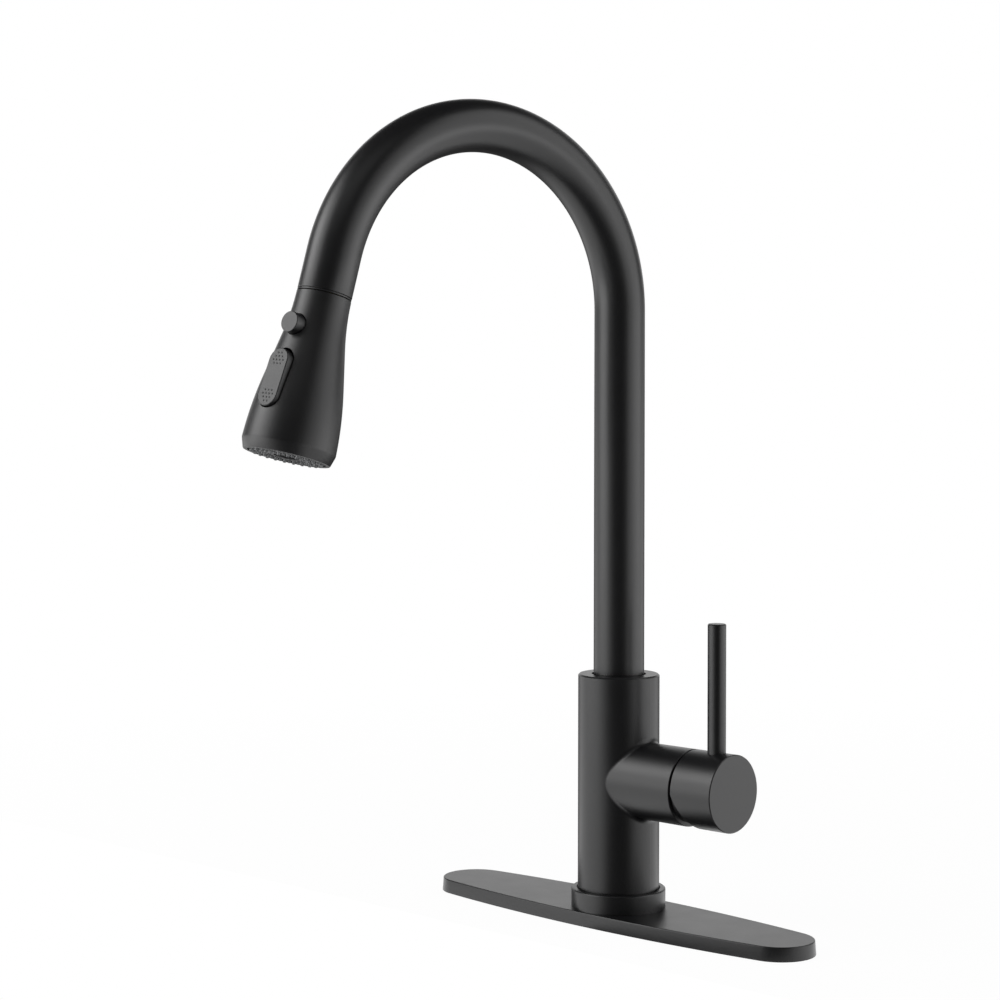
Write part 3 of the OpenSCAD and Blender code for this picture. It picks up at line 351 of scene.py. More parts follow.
bm = bmesh.new()
bmesh.ops.create_grid(bm, x_segments=fillet_turn_steps, y_segments=fillet_steps + 2, size=0.5)
for vert in bm.verts:
    turn = math.tau * (vert.co.x + 0.5)
    station = round((vert.co.y + 0.5) * (fillet_steps + 2))
    ball_y = (barrel_radius + fillet_radius) * math.cos(turn)
    ball_z = (barrel_radius + fillet_radius) * math.sin(turn)
    ball = Vector((math.sqrt((column_radius + fillet_radius) ** 2 - ball_y**2), ball_y, ball_z))
    column_side = Vector((-ball.x, -ball.y, 0)).normalized()
    barrel_side = Vector((0, -ball.y, -ball.z)).normalized()
    if station == fillet_steps + 1:
        root_y = (barrel_radius - fillet_root) * math.cos(turn)
        root_z = (barrel_radius - fillet_root) * math.sin(turn)
        vert.co = (math.sqrt((column_radius - fillet_root) ** 2 - root_y**2), root_y, root_z)
    else:
        share = station / fillet_steps if station <= fillet_steps else 0
        vert.co = ball + fillet_radius * column_side.slerp(barrel_side, share)
bmesh.ops.remove_doubles(bm, verts=bm.verts, dist=weld)
bmesh.ops.recalc_face_normals(bm, faces=bm.faces)
settle(
    bm, "barrel_fillet", coat_black, "base", Matrix.Translation((0, 0, valve_height)), 60
)

# ---------------------------------------------------------------- threads in the underside
# The column's foot is bored and threaded for its hollow shank, and two small threaded ports
# in the chamber above take the supply hoses. The threads are cut in bare brass.


def turned_metal(name, base, shine, ring_size=0.0004):
    """Bare turned metal: fine rings from the tool, and a little uneven tarnish."""
    metal = Finish(name, Metallic=1.0)
    cloud = metal.noise(0.006, 4)
    streak = metal.noise(ring_size, 1)
    metal.colour(cloud, [tone * 0.82 for tone in base], [min(1, tone * 1.12) for tone in base])
    metal.roughness(cloud * 0.12 + streak * 0.06 + (shine - 0.09))
    metal.bump(streak, 0.000006)
    return metal.material


brass = turned_metal("turned brass", (0.70, 0.48, 0.20), 0.30)
thread_pitch = 0.0015
thread_crest = 0.0005
thread_land = 1.9
thread_steps = 40
fine_pitch = 0.001
fine_crest = 0.0003


def cut_thread(name, mount, pitch, crest):
    """A helical ridge inside a threaded mount, from its mouth inwards."""
    radius = mount["dims"]["r_mm"] / 1000
    turns = int(mount["dims"]["length_mm"] / 1000 / pitch) - 1
    bm = bmesh.new()
    ridge = bmesh.ops.create_circle(bm, cap_ends=True, segments=3, radius=crest)
    upright = Matrix.Rotation(math.pi / 2, 3, "X")
    bmesh.ops.rotate(bm, verts=ridge["verts"], cent=(0, 0, 0), matrix=upright)
    bmesh.ops.scale(bm, verts=ridge["verts"], vec=(1, 1, pitch / crest / thread_land))
    bmesh.ops.translate(bm, verts=ridge["verts"], vec=(radius, 0, pitch / 2))
    bmesh.ops.spin(
        bm, geom=bm.verts[:] + bm.edges[:] + bm.faces[:], cent=(0, 0, 0), axis=(0, 0, 1),
        angle=math.tau * turns, steps=thread_steps * turns, dvec=(0, 0, pitch / thread_steps),
        use_merge=False,
    )
    bmesh.ops.recalc_face_normals(bm, faces=bm.faces)
    settle(bm, name, brass, "base", Matrix.Translation(mount["pos_m"]), 50)


mounts = {mount["name"]: mount for mount in frame["record"]["mounts"]}
cut_thread("shank_thread_cut", mounts["shank_thread"], thread_pitch, thread_crest)
cut_thread("hot_inlet_thread", mounts["hot_inlet"], fine_pitch, fine_crest)
cut_thread("cold_inlet_thread", mounts["cold_inlet"], fine_pitch, fine_crest)

# ---------------------------------------------------------------- plate underside
# A ribbed plastic tray stiffens the plate, and a foam gasket under it seals out splashes.


def moulded_plastic(name, base, shine, grain_depth=0.000008, grain_size=0.0005):
    """Moulded plastic with a fine spark-eroded grain and a soft, uneven sheen."""
    plastic = Finish(name)
    haze = plastic.noise(0.009, 3)
    grain = plastic.noise(grain_size, 1)
    plastic.colour(haze, [tone * 0.9 for tone in base], [min(1, tone * 1.1) for tone in base])
    plastic.roughness(haze * 0.06 + grain * 0.05 + (shine - 0.055))
    plastic.bump(grain, grain_depth)
    return plastic.material


def soft_rubber(name, base, shine, cell_size, cell_depth):
    """Rubber or foam: a dull skin with fine cells."""
    rubber = Finish(name, Specular_IOR_Level=0.3)
    cloud = rubber.noise(0.004, 4)
    inputs = {"Vector": rubber.place, "Scale": 1 / cell_size}
    cell = rubber.node("ShaderNodeTexVoronoi", {}, inputs, "Distance")
    rubber.colour(cloud, [tone * 0.75 for tone in base], [min(1, tone * 1.25) for tone in base])
    rubber.roughness(cloud * 0.1 + (shine - 0.05))
    rubber.bump(cell, cell_depth)
    return rubber.material


black_plastic = moulded_plastic("black moulded plastic", (0.0058, 0.0058, 0.0064), 0.40)
foam = soft_rubber("closed-cell foam", (0.035, 0.035, 0.037), 0.85, 0.0008, 0.00015)
seal_rubber = soft_rubber("seal rubber", (0.016, 0.016, 0.016), 0.6, 0.0003, 0.00001)
dress(black_plastic, "black_plastic", "plate_tray", "screw_plug")
dress(foam, "foam", "plate_gasket")
dress(seal_rubber, "rubber", "base_seal", "cartridge_seals", "gland_orings", "hose_washer")

# ---------------------------------------------------------------- cartridge and column fittings
# The ceramic cartridge, its brass nut, and the parts that the spout turns on. They are bare:
# acetal, lapped alumina, turned brass and stainless steel.
white_acetal = moulded_plastic("white acetal", (0.72, 0.72, 0.69), 0.38, 0.000005)
grey_acetal = moulded_plastic("grey acetal", (0.30, 0.30, 0.31), 0.40, 0.000005)
lapped_ceramic = moulded_plastic("lapped alumina", (0.82, 0.81, 0.77), 0.22, 0.000001, 0.0002)
steel = turned_metal("stainless steel", (0.52, 0.52, 0.53), 0.28)
dark_plastic = moulded_plastic("dark satin plastic", (0.0075, 0.0075, 0.0082), 0.42)
dress(
    white_acetal, "white_plastic",
    "thrust_washer", "cartridge_base", "cartridge_housing", "swivel_rings", "spray_manifold",
)
dress(grey_acetal, "grey_plastic", "disc_carrier", "stem_carrier", "check_valve", "diverter_spool")
dress(lapped_ceramic, "ceramic", "fixed_disc", "moving_disc")
dress(brass, "brass", "hose_connector", "cartridge_nut", "stem", "spout_gland", "hose_nut")
dress(steel, "steel", "spout_lock_screw", "pivot_pin", "hub_screw", "hose_ferrule", "rocker_pin")
dress(dark_plastic, "dark_plastic", "bonnet", "dock_bush", "head_core")

# ---------------------------------------------------------------- spout tube
# One length of thin brass tube, drawn round a former into a high arch and powder coated. Its
# foot is brazed to the gland that turns in the column.
tube_radius = 0.014
tube_wall = 0.0013
tube_foot = 0.126
arch_height = 0.337
arch_radius = 0.0955
arch_sweep = math.radians(164.8)
mouth_length = 0.0215
mouth_edge = 0.0003
pull_axis = Vector(joints["head_pull"]["axis"])
spout_turn = math.atan2(pull_axis.x, -pull_axis.y)


def spout_run(bm, radius, foot, bend, straight, sides=96, steps=96):
    """A round skin along the spout's centre line. Returns its first and last rims."""
    place = Matrix.Translation((0, 0, foot))
    start = bmesh.ops.create_circle(bm, segments=sides, radius=radius, matrix=place)
    rim = rim_of(start["verts"])
    grown = bmesh.ops.extrude_edge_only(bm, edges=rim)["geom"]
    risen = corners_in(grown)
    bmesh.ops.translate(bm, verts=risen, vec=(0, 0, arch_height - foot))
    swept = bmesh.ops.spin(
        bm, geom=risen + edges_in(grown, risen), cent=(0, -arch_radius, arch_height), axis=(1, 0, 0),
        angle=bend, steps=steps, use_merge=False,
    )["geom_last"]
    last = edges_in(swept, corners_in(swept))
    if straight:
        grown = bmesh.ops.extrude_edge_only(bm, edges=last)["geom"]
        lowered = corners_in(grown)
        down = Matrix.Rotation(bend, 3, "X") @ Vector((0, 0, straight))
        bmesh.ops.translate(bm, verts=lowered, vec=down)
        last = edges_in(grown, lowered)
    return rim, last


bm = bmesh.new()
outer_foot, outer_mouth = spout_run(bm, tube_radius, tube_foot, arch_sweep, mouth_length)
inner_foot, inner_mouth = spout_run(bm, tube_radius - tube_wall, tube_foot, arch_sweep, mouth_length)
bmesh.ops.bridge_loops(bm, edges=outer_foot + inner_foot)
bmesh.ops.bridge_loops(bm, edges=outer_mouth + inner_mouth)
bmesh.ops.recalc_face_normals(bm, faces=bm.faces)
bmesh.ops.bevel(
    bm, geom=outer_mouth, offset=mouth_edge, affect="EDGES", segments=3, profile=0.5, material=-1
)
spout_place = Matrix.Rotation(spout_turn, 4, "Z")
spout_tube = settle(bm, "spout_tube_drawn", coat_black, "spout", spout_place)
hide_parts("spout_tube")

# ---------------------------------------------------------------- spray hose
# A plastic tube in a nylon braid. It runs from its connector up the column and round the arch
# to the ferrule, and more of it comes out when the head is pulled.
hose_radius = 0.0063
hose_foot = 0.060
hose_reach = 0.020
hose_sides = 32
hose_pull = joints["head_pull"]["range_m"][1]
braid_pitch = 0.0042
braid_strands = 16


def braided_nylon(name):
    """Two sets of strands that cross, worked out on the hose's own map: around and along."""
    braid = Finish(name, Specular_IOR_Level=0.45)
    around = braid.node("ShaderNodeUVMap", {"uv_map": "hose"}, {})
    split = braid.node("ShaderNodeSeparateXYZ", {}, {"Vector": around}, "X")
    across = split.output("X") * (braid_strands * math.pi)
    along = split.output("Y") * (math.pi / braid_pitch)
    left = braid.node("ShaderNodeMath", {"operation": "SINE"}, {0: along + across})
    right = braid.node("ShaderNodeMath", {"operation": "SINE"}, {0: along - across})
    weave = left * right * 0.5 + 0.5
    braid.colour(weave, (0.010, 0.010, 0.011), (0.045, 0.045, 0.048))
    braid.roughness(weave * 0.15 + 0.42)
    braid.bump(weave, 0.00025)
    return braid.material


nylon_braid = braided_nylon("black nylon braid")


def map_hose(piece, length_at):
    """Maps the hose: once around, and metres along it, from each corner's place."""
    mesh = piece.data
    layer = mesh.uv_layers.new(name="hose")
    for face in mesh.polygons:
        marks = [length_at(mesh.vertices[i].co) for i in face.vertices]
        turns = [mark[0] for mark in marks]
        for loop, (turn, along) in zip(face.loop_indices, marks):
            if turn < max(turns) - 0.5:
                turn += 1
            layer.data[loop].uv = (turn, along)


def along_spout(point):
    """Around and along the hose inside the spout."""
    flat = Matrix.Rotation(-spout_turn, 3, "Z") @ point
    if flat.z <= arch_height and flat.y > -arch_radius:
        return math.atan2(flat.y, flat.x) / math.tau % 1, flat.z - hose_foot
    out = Vector((flat.y + arch_radius, flat.z - arch_height))
    bend = math.atan2(out.y, out.x)
    around = math.atan2(out.length - arch_radius, flat.x) / math.tau % 1
    return around, arch_height - hose_foot + bend * arch_radius


bm = bmesh.new()
hose_bend = arch_sweep - hose_reach / arch_radius
hose_start, hose_end = spout_run(bm, hose_radius, hose_foot, hose_bend, 0, hose_sides, 64)
bmesh.ops.holes_fill(bm, edges=hose_start + hose_end)
bmesh.ops.recalc_face_normals(bm, faces=bm.faces)
hose_run = settle(bm, "hose_in_spout", nylon_braid, "spout", spout_place, 60)
map_hose(hose_run, along_spout)
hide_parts("hose")

# ---------------------------------------------------------------- hose at the mouth
# The last stretch of the hose is held by the ferrule. Its map is laid for the hose as it is when
# pulled right out, where it shows.
mouth = Vector(joints["head_swivel"]["pos_m"])
head_axis = pull_axis.normalized()
arch_centre = Vector((0, -arch_radius, arch_height))
stretch_inset = 0.01


def on_arch(bend):
    """The place on the spout's centre line after a bend of the arch."""
    out = Matrix.Rotation(bend, 3, "X") @ Vector((0, arch_radius, 0))
    return Matrix.Rotation(spout_turn, 3, "Z") @ (arch_centre + out)


stretch_start = on_arch(hose_bend + stretch_inset)
stretch_end = on_arch(arch_sweep - stretch_inset)


def along_stretch(point):
    """Around and along the hose where it stretches."""
    around, along = along_spout(point)
    run = stretch_end - stretch_start
    share = min(1, max(0, (point - stretch_start).dot(run) / run.length_squared))
    return around, along + share * share * (3 - 2 * share) * hose_pull


bm = bmesh.new()
begin = Matrix.Translation(arch_centre) @ Matrix.Rotation(hose_bend, 4, "X")
begin = begin @ Matrix.Translation((0, arch_radius, 0))
start = bmesh.ops.create_circle(bm, segments=hose_sides, radius=hose_radius, matrix=begin)
bmesh.ops.spin(
    bm, geom=start["verts"] + rim_of(start["verts"]), cent=arch_centre, axis=(1, 0, 0),
    angle=arch_sweep - hose_bend, steps=80, use_merge=False,
)
bmesh.ops.holes_fill(bm, edges=[edge for edge in bm.edges if edge.is_boundary])
bmesh.ops.recalc_face_normals(bm, faces=bm.faces)
hose_tail = settle(bm, "hose_at_mouth", nylon_braid, None, spout_place, 60)
map_hose(hose_tail, along_stretch)
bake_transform(hose_tail)
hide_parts("hose")

# ---------------------------------------------------------------- spray head shell
# A moulded shell, matched to the spout: a flared neck, a straight flank, a tight shoulder and
# a rim drawn in round the spray face. It is open for the pause button and the rocker.
head_front = -Vector(joints["pause_press"]["axis"]).normalized()
head_side = head_front.cross(head_axis)
head_turn = Matrix((head_side, head_front, head_axis)).transposed().to_4x4()
head_place = Matrix.Translation(mouth) @ head_turn
head_length = 0.085
neck_bend = 0.026
flare_end = 0.0475
shoulder_end = 0.079
flare_angle = math.radians(10.8)
shoulder_angle = math.radians(1.3)
shoulder_round = 0.0034
rim_angle = math.radians(17.3)
shell_start = 0.00135
shell_wall = 0.0022
shell_floor = 0.0026
shell_bore = 0.0082
shell_edge = 0.0003
shell_step = 0.0025
rim_lip = 0.0005
rim_ease = 0.0001
rim_land = 0.0004


def on_bend(radius, bend, slope, distance):
    """Radius after a distance, on an arc that sets out from a radius with a slope."""
    sine = math.sin(slope) - distance / bend
    return radius + bend * (math.sqrt(1 - sine**2) - math.cos(slope))


neck_arc = neck_bend / math.sin(flare_angle)
flare_start_radius = tube_radius + neck_bend * math.tan(flare_angle / 2)
flare_end_radius = flare_start_radius + (flare_end - neck_bend) * math.tan(flare_angle)
flank_arc = (shoulder_end - flare_end) / (math.sin(flare_angle) - math.sin(shoulder_angle))
shoulder_radius = on_bend(flare_end_radius, flank_arc, flare_angle, shoulder_end - flare_end)
rim_start = shoulder_end + shoulder_round * (math.sin(shoulder_angle) + math.sin(rim_angle))
rim_start_radius = on_bend(shoulder_radius, shoulder_round, shoulder_angle, rim_start - shoulder_end)


def head_radius(station):
    """Outer radius of the head at a distance from the mouth."""
    if station < neck_bend:
        return tube_radius + neck_arc - math.sqrt(neck_arc**2 - station**2)
    if station < flare_end:
        return flare_start_radius + (station - neck_bend) * math.tan(flare_angle)
    if station < shoulder_end:
        return on_bend(flare_end_radius, flank_arc, flare_angle, station - flare_end)
    if station < rim_start:
        return on_bend(shoulder_radius, shoulder_round, shoulder_angle, station - shoulder_end)
    return rim_start_radius - (station - rim_start) * math.tan(rim_angle)


def cut_away(piece, cutters):
    """Cuts closed shapes out of a piece, and closes the cut."""
    for cutter in cutters:
        mesh = bpy.data.meshes.new("cutter")
        cutter.to_mesh(mesh)
        cutter.free()
        tool = bpy.data.objects.new("cutter", mesh)
        bpy.context.scene.collection.objects.link(tool)
        cut = piece.modifiers.new("cut", "BOOLEAN")
        cut.operation = "DIFFERENCE"
        cut.solver = "EXACT"
        cut.object = tool
        graph = bpy.context.evaluated_depsgraph_get()
        shaped = bpy.data.meshes.new_from_object(piece.evaluated_get(graph), depsgraph=graph)
        piece.modifiers.clear()
        piece.data = shaped
        bpy.data.objects.remove(tool)


def pill(bm, length, width, height, steps=16):
    """A flat outline with round ends, long in Y. Returns its face."""
    start = bm.verts.new((width / 2, (width - length) / 2, height))
    tip = bmesh.ops.extrude_vert_indiv(bm, verts=[start])["verts"][0]
    tip.co.y = (length - width) / 2
    for side in (1, -1):
        swept = bmesh.ops.spin(
            bm, geom=[tip], cent=(0, side * (length - width) / 2, height), axis=(0, 0, 1),
            angle=math.pi, steps=steps, use_merge=False,
        )
        tip = corners_in(swept["geom_last"])[0]
        if side == 1:
            tip = bmesh.ops.extrude_vert_indiv(bm, verts=[tip])["verts"][0]
            tip.co.y = (width - length) / 2
    bmesh.ops.remove_doubles(bm, verts=bm.verts, dist=weld)
    return bmesh.ops.contextual_create(bm, geom=bm.edges[:])["faces"][0]


button_radius = 0.0054
button_station = 0.0202
button_gap = 0.0004
rocker_length = 0.0305
rocker_width = 0.0123
rocker_station = 0.0501
rocker_gap = 0.0005
rocker_pin = Vector(joints["rocker_tilt"]["pos_m"])
rocker_ends = (rocker_station - rocker_length / 2, rocker_station + rocker_length / 2)
rocker_rise = head_radius(rocker_ends[1]) - head_radius(rocker_ends[0])
rocker_lean = math.atan(rocker_rise / rocker_length)
rocker_swing = math.radians(3.1)
well_floor = -0.0036
well_depth = 0.0216
button_well_depth = 0.02
button_well_middle = 0.018


def on_rocker(tilt):
    """The rocker's own frame on its pin: +Z out of the head, +Y towards the rim."""
    lean = Matrix.Rotation(math.pi / 2 + rocker_lean + tilt, 4, "X")
    return Matrix.Translation(rocker_pin) @ head_turn @ Matrix.Rotation(math.pi, 4, "Z") @ lean


bm = bmesh.new()
neck_top = head_radius(shell_start)
wall_stations = [shell_step * step for step in range(2, 32)]
wall_stations += [shoulder_end + (rim_start - shoulder_end) * step / 6 for step in range(7)]
first = outline_start(bm, shell_bore, shell_start)
tip = outline_to(bm, first, neck_top - shell_edge, shell_start)
tip = outline_to(bm, tip, neck_top, shell_start + shell_edge)
for station in wall_stations:
    tip = outline_to(bm, tip, head_radius(station), station)
rim_radius = head_radius(head_length)
tip = outline_to(bm, tip, head_radius(head_length - rim_lip), head_length - rim_lip)
tip = outline_to(bm, tip, rim_radius - rim_ease, head_length - rim_ease)
tip = outline_to(bm, tip, rim_radius - rim_land, head_length)
tip = outline_to(bm, tip, rim_radius - shell_wall, head_length)
for station in reversed(wall_stations):
    tip = outline_to(bm, tip, head_radius(station) - shell_wall, station)
floor_station = shell_start + shell_floor
tip = outline_to(bm, tip, head_radius(floor_station) - shell_wall, floor_station)
tip = outline_to(bm, tip, shell_bore, floor_station)
bm.edges.new((tip, first))
turn_outline(bm, 144)
head_shell = settle(bm, "head_shell_moulded", black_plastic, "spray_head", head_place)
button_well = bmesh.new()
bmesh.ops.create_cone(
    button_well, cap_ends=True, segments=64, radius1=button_radius + button_gap,
    radius2=button_radius + button_gap, depth=button_well_depth,
)
out_of_front = Matrix.Rotation(-math.pi / 2, 4, "X")
well_middle = Matrix.Translation((0, button_well_middle, button_station))
button_well.transform(head_place @ well_middle @ out_of_front)
rocker_well = bmesh.new()
well_length = rocker_length + 4 * rocker_gap
well_width = rocker_width + 2 * rocker_gap
floor_face = pill(rocker_well, well_length, well_width, well_floor)
raised = corners_in(bmesh.ops.extrude_face_region(rocker_well, geom=[floor_face])["geom"])
bmesh.ops.translate(rocker_well, verts=raised, vec=(0, 0, well_depth))
bmesh.ops.recalc_face_normals(rocker_well, faces=rocker_well.faces)
rocker_well.transform(on_rocker(0))
cut_away(head_shell, [button_well, rocker_well])
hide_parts("head_shell")

# ---------------------------------------------------------------- pause button
# A round push button on a short stem, with a spring under it. It stands well proud of the
# shell, and its edge is softened.
button_proud = 0.0049
button_sunk = 0.0024
button_edge = 0.0004
button_top = head_radius(button_station) + button_proud
button_skirt = head_radius(button_station) - button_sunk
stem_radius = 0.002
stem_length = 0.0101
spring_gap = 0.0001
spring_space = 0.0062
spring_foot = button_skirt - spring_gap - spring_space
spring_circle = 0.0036
spring_wire = 0.00035
spring_turns = 4
spring_steps = 64

bm = bmesh.new()
tip = outline_start(bm, 0, button_skirt - stem_length)
tip = outline_to(bm, tip, stem_radius, button_skirt - stem_length)
tip = outline_to(bm, tip, stem_radius, button_skirt)
tip = outline_to(bm, tip, button_radius, button_skirt)
tip = outline_to(bm, tip, button_radius, button_top - button_edge)
tip = outline_round(bm, tip, (button_radius - button_edge, button_top - button_edge), -90, 5)
outline_to(bm, tip, 0, button_top)
turn_outline(bm, 64)
button_place = head_place @ Matrix.Translation((0, 0, button_station)) @ out_of_front
pause_button = settle(
    bm, "pause_button_cap", black_plastic, "pause_push", button_place
)
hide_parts("pause_button")

bm = bmesh.new()
coil_start = Matrix.Translation((spring_circle, 0, spring_foot + spring_wire))
coil_start = coil_start @ Matrix.Rotation(math.pi / 2, 4, "X")
bmesh.ops.create_circle(bm, cap_ends=True, radius=spring_wire, segments=8, matrix=coil_start)
bmesh.ops.spin(
    bm, geom=bm.verts[:] + bm.edges[:] + bm.faces[:], axis=(0, 0, 1), angle=math.tau * spring_turns,
    dvec=(0, 0, (spring_space - 2 * spring_wire) / spring_steps), steps=spring_steps,
)
bmesh.ops.recalc_face_normals(bm, faces=bm.faces[:])
button_spring = settle(bm, "button_spring", steel, "spray_head", button_place, 50)
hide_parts("pause_spring")
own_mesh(button_spring)

# ---------------------------------------------------------------- rocker
# A flat rocker on a cross pin switches between stream and spray. Each end has a patch of
# small raised grip points, and a peg below moves the diverter.
rocker_thickness = 0.005
rocker_top = 0.009
rocker_edge = 0.0005
hub_radius = 0.0021
hub_inset = 0.001
post_width = 0.004
post_height = 0.006
post_middle = 0.003
peg_radius = 0.0012
peg_length = 0.0046
grip_radius = 0.0005
grip_rise = 0.00025
grip_pitch = 0.0021
grip_row_pitch = 0.9 * grip_pitch
grip_inset = 0.0026

bm = bmesh.new()
plate_face = pill(bm, rocker_length, rocker_width, rocker_top - rocker_thickness)
raised = corners_in(bmesh.ops.extrude_face_region(bm, geom=[plate_face])["geom"])
bmesh.ops.translate(bm, verts=raised, vec=(0, 0, rocker_thickness))
bmesh.ops.recalc_face_normals(bm, faces=bm.faces)
top_face = max(bm.faces, key=lambda face: face.calc_center_median().z)
bmesh.ops.bevel(
    bm, geom=top_face.edges[:], offset=rocker_edge, affect="EDGES", segments=4, profile=0.5,
    material=-1,
)
for end in (-1, 1):
    for row, count in enumerate((2, 3, 4, 3)):
        for place in range(count):
            across = (place - (count - 1) / 2) * grip_pitch
            along = end * (rocker_length / 2 - grip_inset - row * grip_row_pitch)
            dome = bmesh.ops.create_uvsphere(
                bm, u_segments=12, v_segments=6, radius=grip_radius,
                matrix=Matrix.Translation((across, along, rocker_top)),
            )
            bmesh.ops.scale(
                bm, verts=dome["verts"], vec=(1, 1, grip_rise / grip_radius),
                space=Matrix.Translation((-across, -along, -rocker_top)),
            )
bmesh.ops.create_cone(
    bm, cap_ends=True, segments=48, radius1=hub_radius, radius2=hub_radius,
    depth=rocker_width - 2 * hub_inset, matrix=Matrix.Rotation(math.pi / 2, 4, "Y"),
)
post_place = Matrix.Translation((0, 0, post_middle))
post_shape = Matrix.Diagonal((post_width, post_width, post_height, 1))
bmesh.ops.create_cube(bm, size=1, matrix=post_place @ post_shape)
bmesh.ops.create_cone(
    bm, cap_ends=True, segments=32, radius1=peg_radius, radius2=peg_radius, depth=peg_length,
    matrix=Matrix.Rotation(-rocker_lean, 4, "X") @ Matrix.Translation((0, 0, -peg_length / 2)),
)
rocker_place = on_rocker(-rocker_swing)
rocker = settle(bm, "rocker_moulded", dark_plastic, "spray_rocker", rocker_place)
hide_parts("rocker")

# ---------------------------------------------------------------- spray face
# A soft silicone pad behind the face plate, with three circles of tapered nozzles that come
# through it, and an aerator with a honeycomb in the middle.
face_end = 0.0842
face_radius = 0.0202
manifold_end = 0.079
nozzle_circles = (0.0180, 0.0149, 0.0118)
nozzle_count = 24
nozzle_radius = 0.00085
nozzle_root = manifold_end + 0.0005
nozzle_proud = 0.0016
nozzle_bore = 0.00045
aerator_radius = 0.008
pad_bore = aerator_radius + 0.00005
pad_top = face_end - 0.003
nozzle_rings = (
    (nozzle_radius, face_end + 0.0004),
    (nozzle_radius * 0.94, face_end + nozzle_proud - 0.0002),
    (nozzle_radius * 0.8, face_end + nozzle_proud),
    (nozzle_bore, face_end + nozzle_proud),
    (nozzle_bore, face_end - 0.001),
)

silicone = soft_rubber("grey silicone", (0.25, 0.255, 0.26), 0.45, 0.0004, 0.000008)

bm = bmesh.new()
first = outline_start(bm, pad_bore, manifold_end)
tip = outline_to(bm, first, face_radius, manifold_end)
tip = outline_to(bm, tip, face_radius, pad_top)
tip = outline_to(bm, tip, pad_bore, pad_top)
bm.edges.new((tip, first))
turn_outline(bm, 96)
for circle_radius in nozzle_circles:
    count = round(nozzle_count * circle_radius / nozzle_circles[0])
    for step in range(count):
        turn = Matrix.Rotation(math.tau * step / count, 4, "Z")
        middle = turn @ Vector((circle_radius, 0, 0))
        root = turn @ Matrix.Translation((circle_radius, 0, nozzle_root))
        start = bmesh.ops.create_circle(bm, segments=16, radius=nozzle_radius, matrix=root)
        root_rim = rim_of(start["verts"])
        rim = root_rim
        for radius, height in nozzle_rings:
            grown = bmesh.ops.extrude_edge_only(bm, edges=rim)["geom"]
            corners = corners_in(grown)
            for vert in corners:
                out = vert.co - middle
                out.z = 0
                vert.co = middle + out.normalized() * radius + Vector((0, 0, height))
            rim = edges_in(grown, corners)
        bmesh.ops.holes_fill(bm, edges=rim + root_rim)
bmesh.ops.recalc_face_normals(bm, faces=bm.faces)
nozzle_pad = settle(bm, "nozzle_pad_moulded", silicone, "spray_head", head_place)
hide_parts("nozzle_pad")

face_grey = moulded_plastic("dark grey face", (0.055, 0.055, 0.057), 0.36, 0.000004)
dress(face_grey, "grey_plastic", "nozzle_plate", "aerator")
comb_cell = 0.0011
comb_wall = 0.00012
comb_depth = 0.001
comb_floor = 0.0001
comb_radius = 0.0066
comb_rows = range(-7, 8)
comb_face = face_end - 0.0003
bm = bmesh.new()
for row in comb_rows:
    for column in comb_rows:
        x = (column + row / 2) * comb_cell
        y = row * comb_cell * math.sqrt(3) / 2
        if math.hypot(x, y) < comb_radius:
            bmesh.ops.create_circle(
                bm, cap_ends=True, segments=6, radius=comb_cell / math.sqrt(3),
                matrix=Matrix.Translation((x, y, comb_face)),
            )
bmesh.ops.remove_doubles(bm, verts=bm.verts, dist=1e-5)
cells = bm.faces[:]
comb_rim = [edge for edge in bm.edges if edge.is_boundary]
lowered = corners_in(bmesh.ops.extrude_edge_only(bm, edges=comb_rim)["geom"])
bmesh.ops.translate(bm, verts=lowered, vec=(0, 0, -comb_depth - comb_floor))
bmesh.ops.holes_fill(bm, edges=[edge for edge in bm.edges if edge.is_boundary])
bmesh.ops.recalc_face_normals(bm, faces=bm.faces)
bmesh.ops.inset_individual(bm, faces=cells, thickness=comb_wall / 2, depth=0)
for cell in bmesh.ops.extrude_discrete_faces(bm, faces=cells)["faces"]:
    bmesh.ops.translate(bm, verts=cell.verts, vec=(0, 0, -comb_depth))
settle(bm, "aerator_honeycomb", face_grey, "spray_head", head_place)

# ---------------------------------------------------------------- studio
# A white sink deck in a white surround. It is open in front of the faucet, where the bowl is,
# so a head that is pulled down shows. Soft boxes stand to both sides of the camera's line.
fill_light = 0.2
bowl_light = 0.4
bowl_edge = -0.07
dark_side = 0.05
wall_light = 1.25
wall_half_width = math.radians(36)
wall_foot = (math.sin(math.radians(-2)), math.sin(math.radians(6)))
wall_top = (math.sin(math.radians(38)), math.sin(math.radians(20)))
floor_white = 0.97
# Strengths of what mirror rays see below, to both sides and along the camera's line: world light, and on the floor
# painted light.
floor_mirrored = 1.6
floor_front = 0.1
front_edge = (math.cos(math.radians(52)) ** 2, math.cos(math.radians(22)) ** 2)
floor_near = 0.25
floor_far = 0.9
lamp_aim = Vector((0, 0, 0.22))


def light_path(tree):
    """Signals that are 1 for camera rays, mirror rays and glass rays."""
    rays = Signal(tree, None).node("ShaderNodeLightPath", {}, {}, "Is Camera Ray")
    return rays, rays.output("Is Glossy Ray"), rays.output("Is Transmission Ray")


def vector_math(rays, operation, first, *second, output="Vector"):
    """A Vector Math node on one or two vectors."""
    return rays.node(
        "ShaderNodeVectorMath", {"operation": operation}, dict(enumerate((first, *second))), output
    )


def soft_step(rays, value, start, end):
    """A smooth rise from 0 to 1 while a signal goes from start to end."""
    limits = {"Value": value, "From Min": start, "From Max": end}
    return rays.node("ShaderNodeMapRange", {"interpolation_type": "SMOOTHSTEP"}, limits)


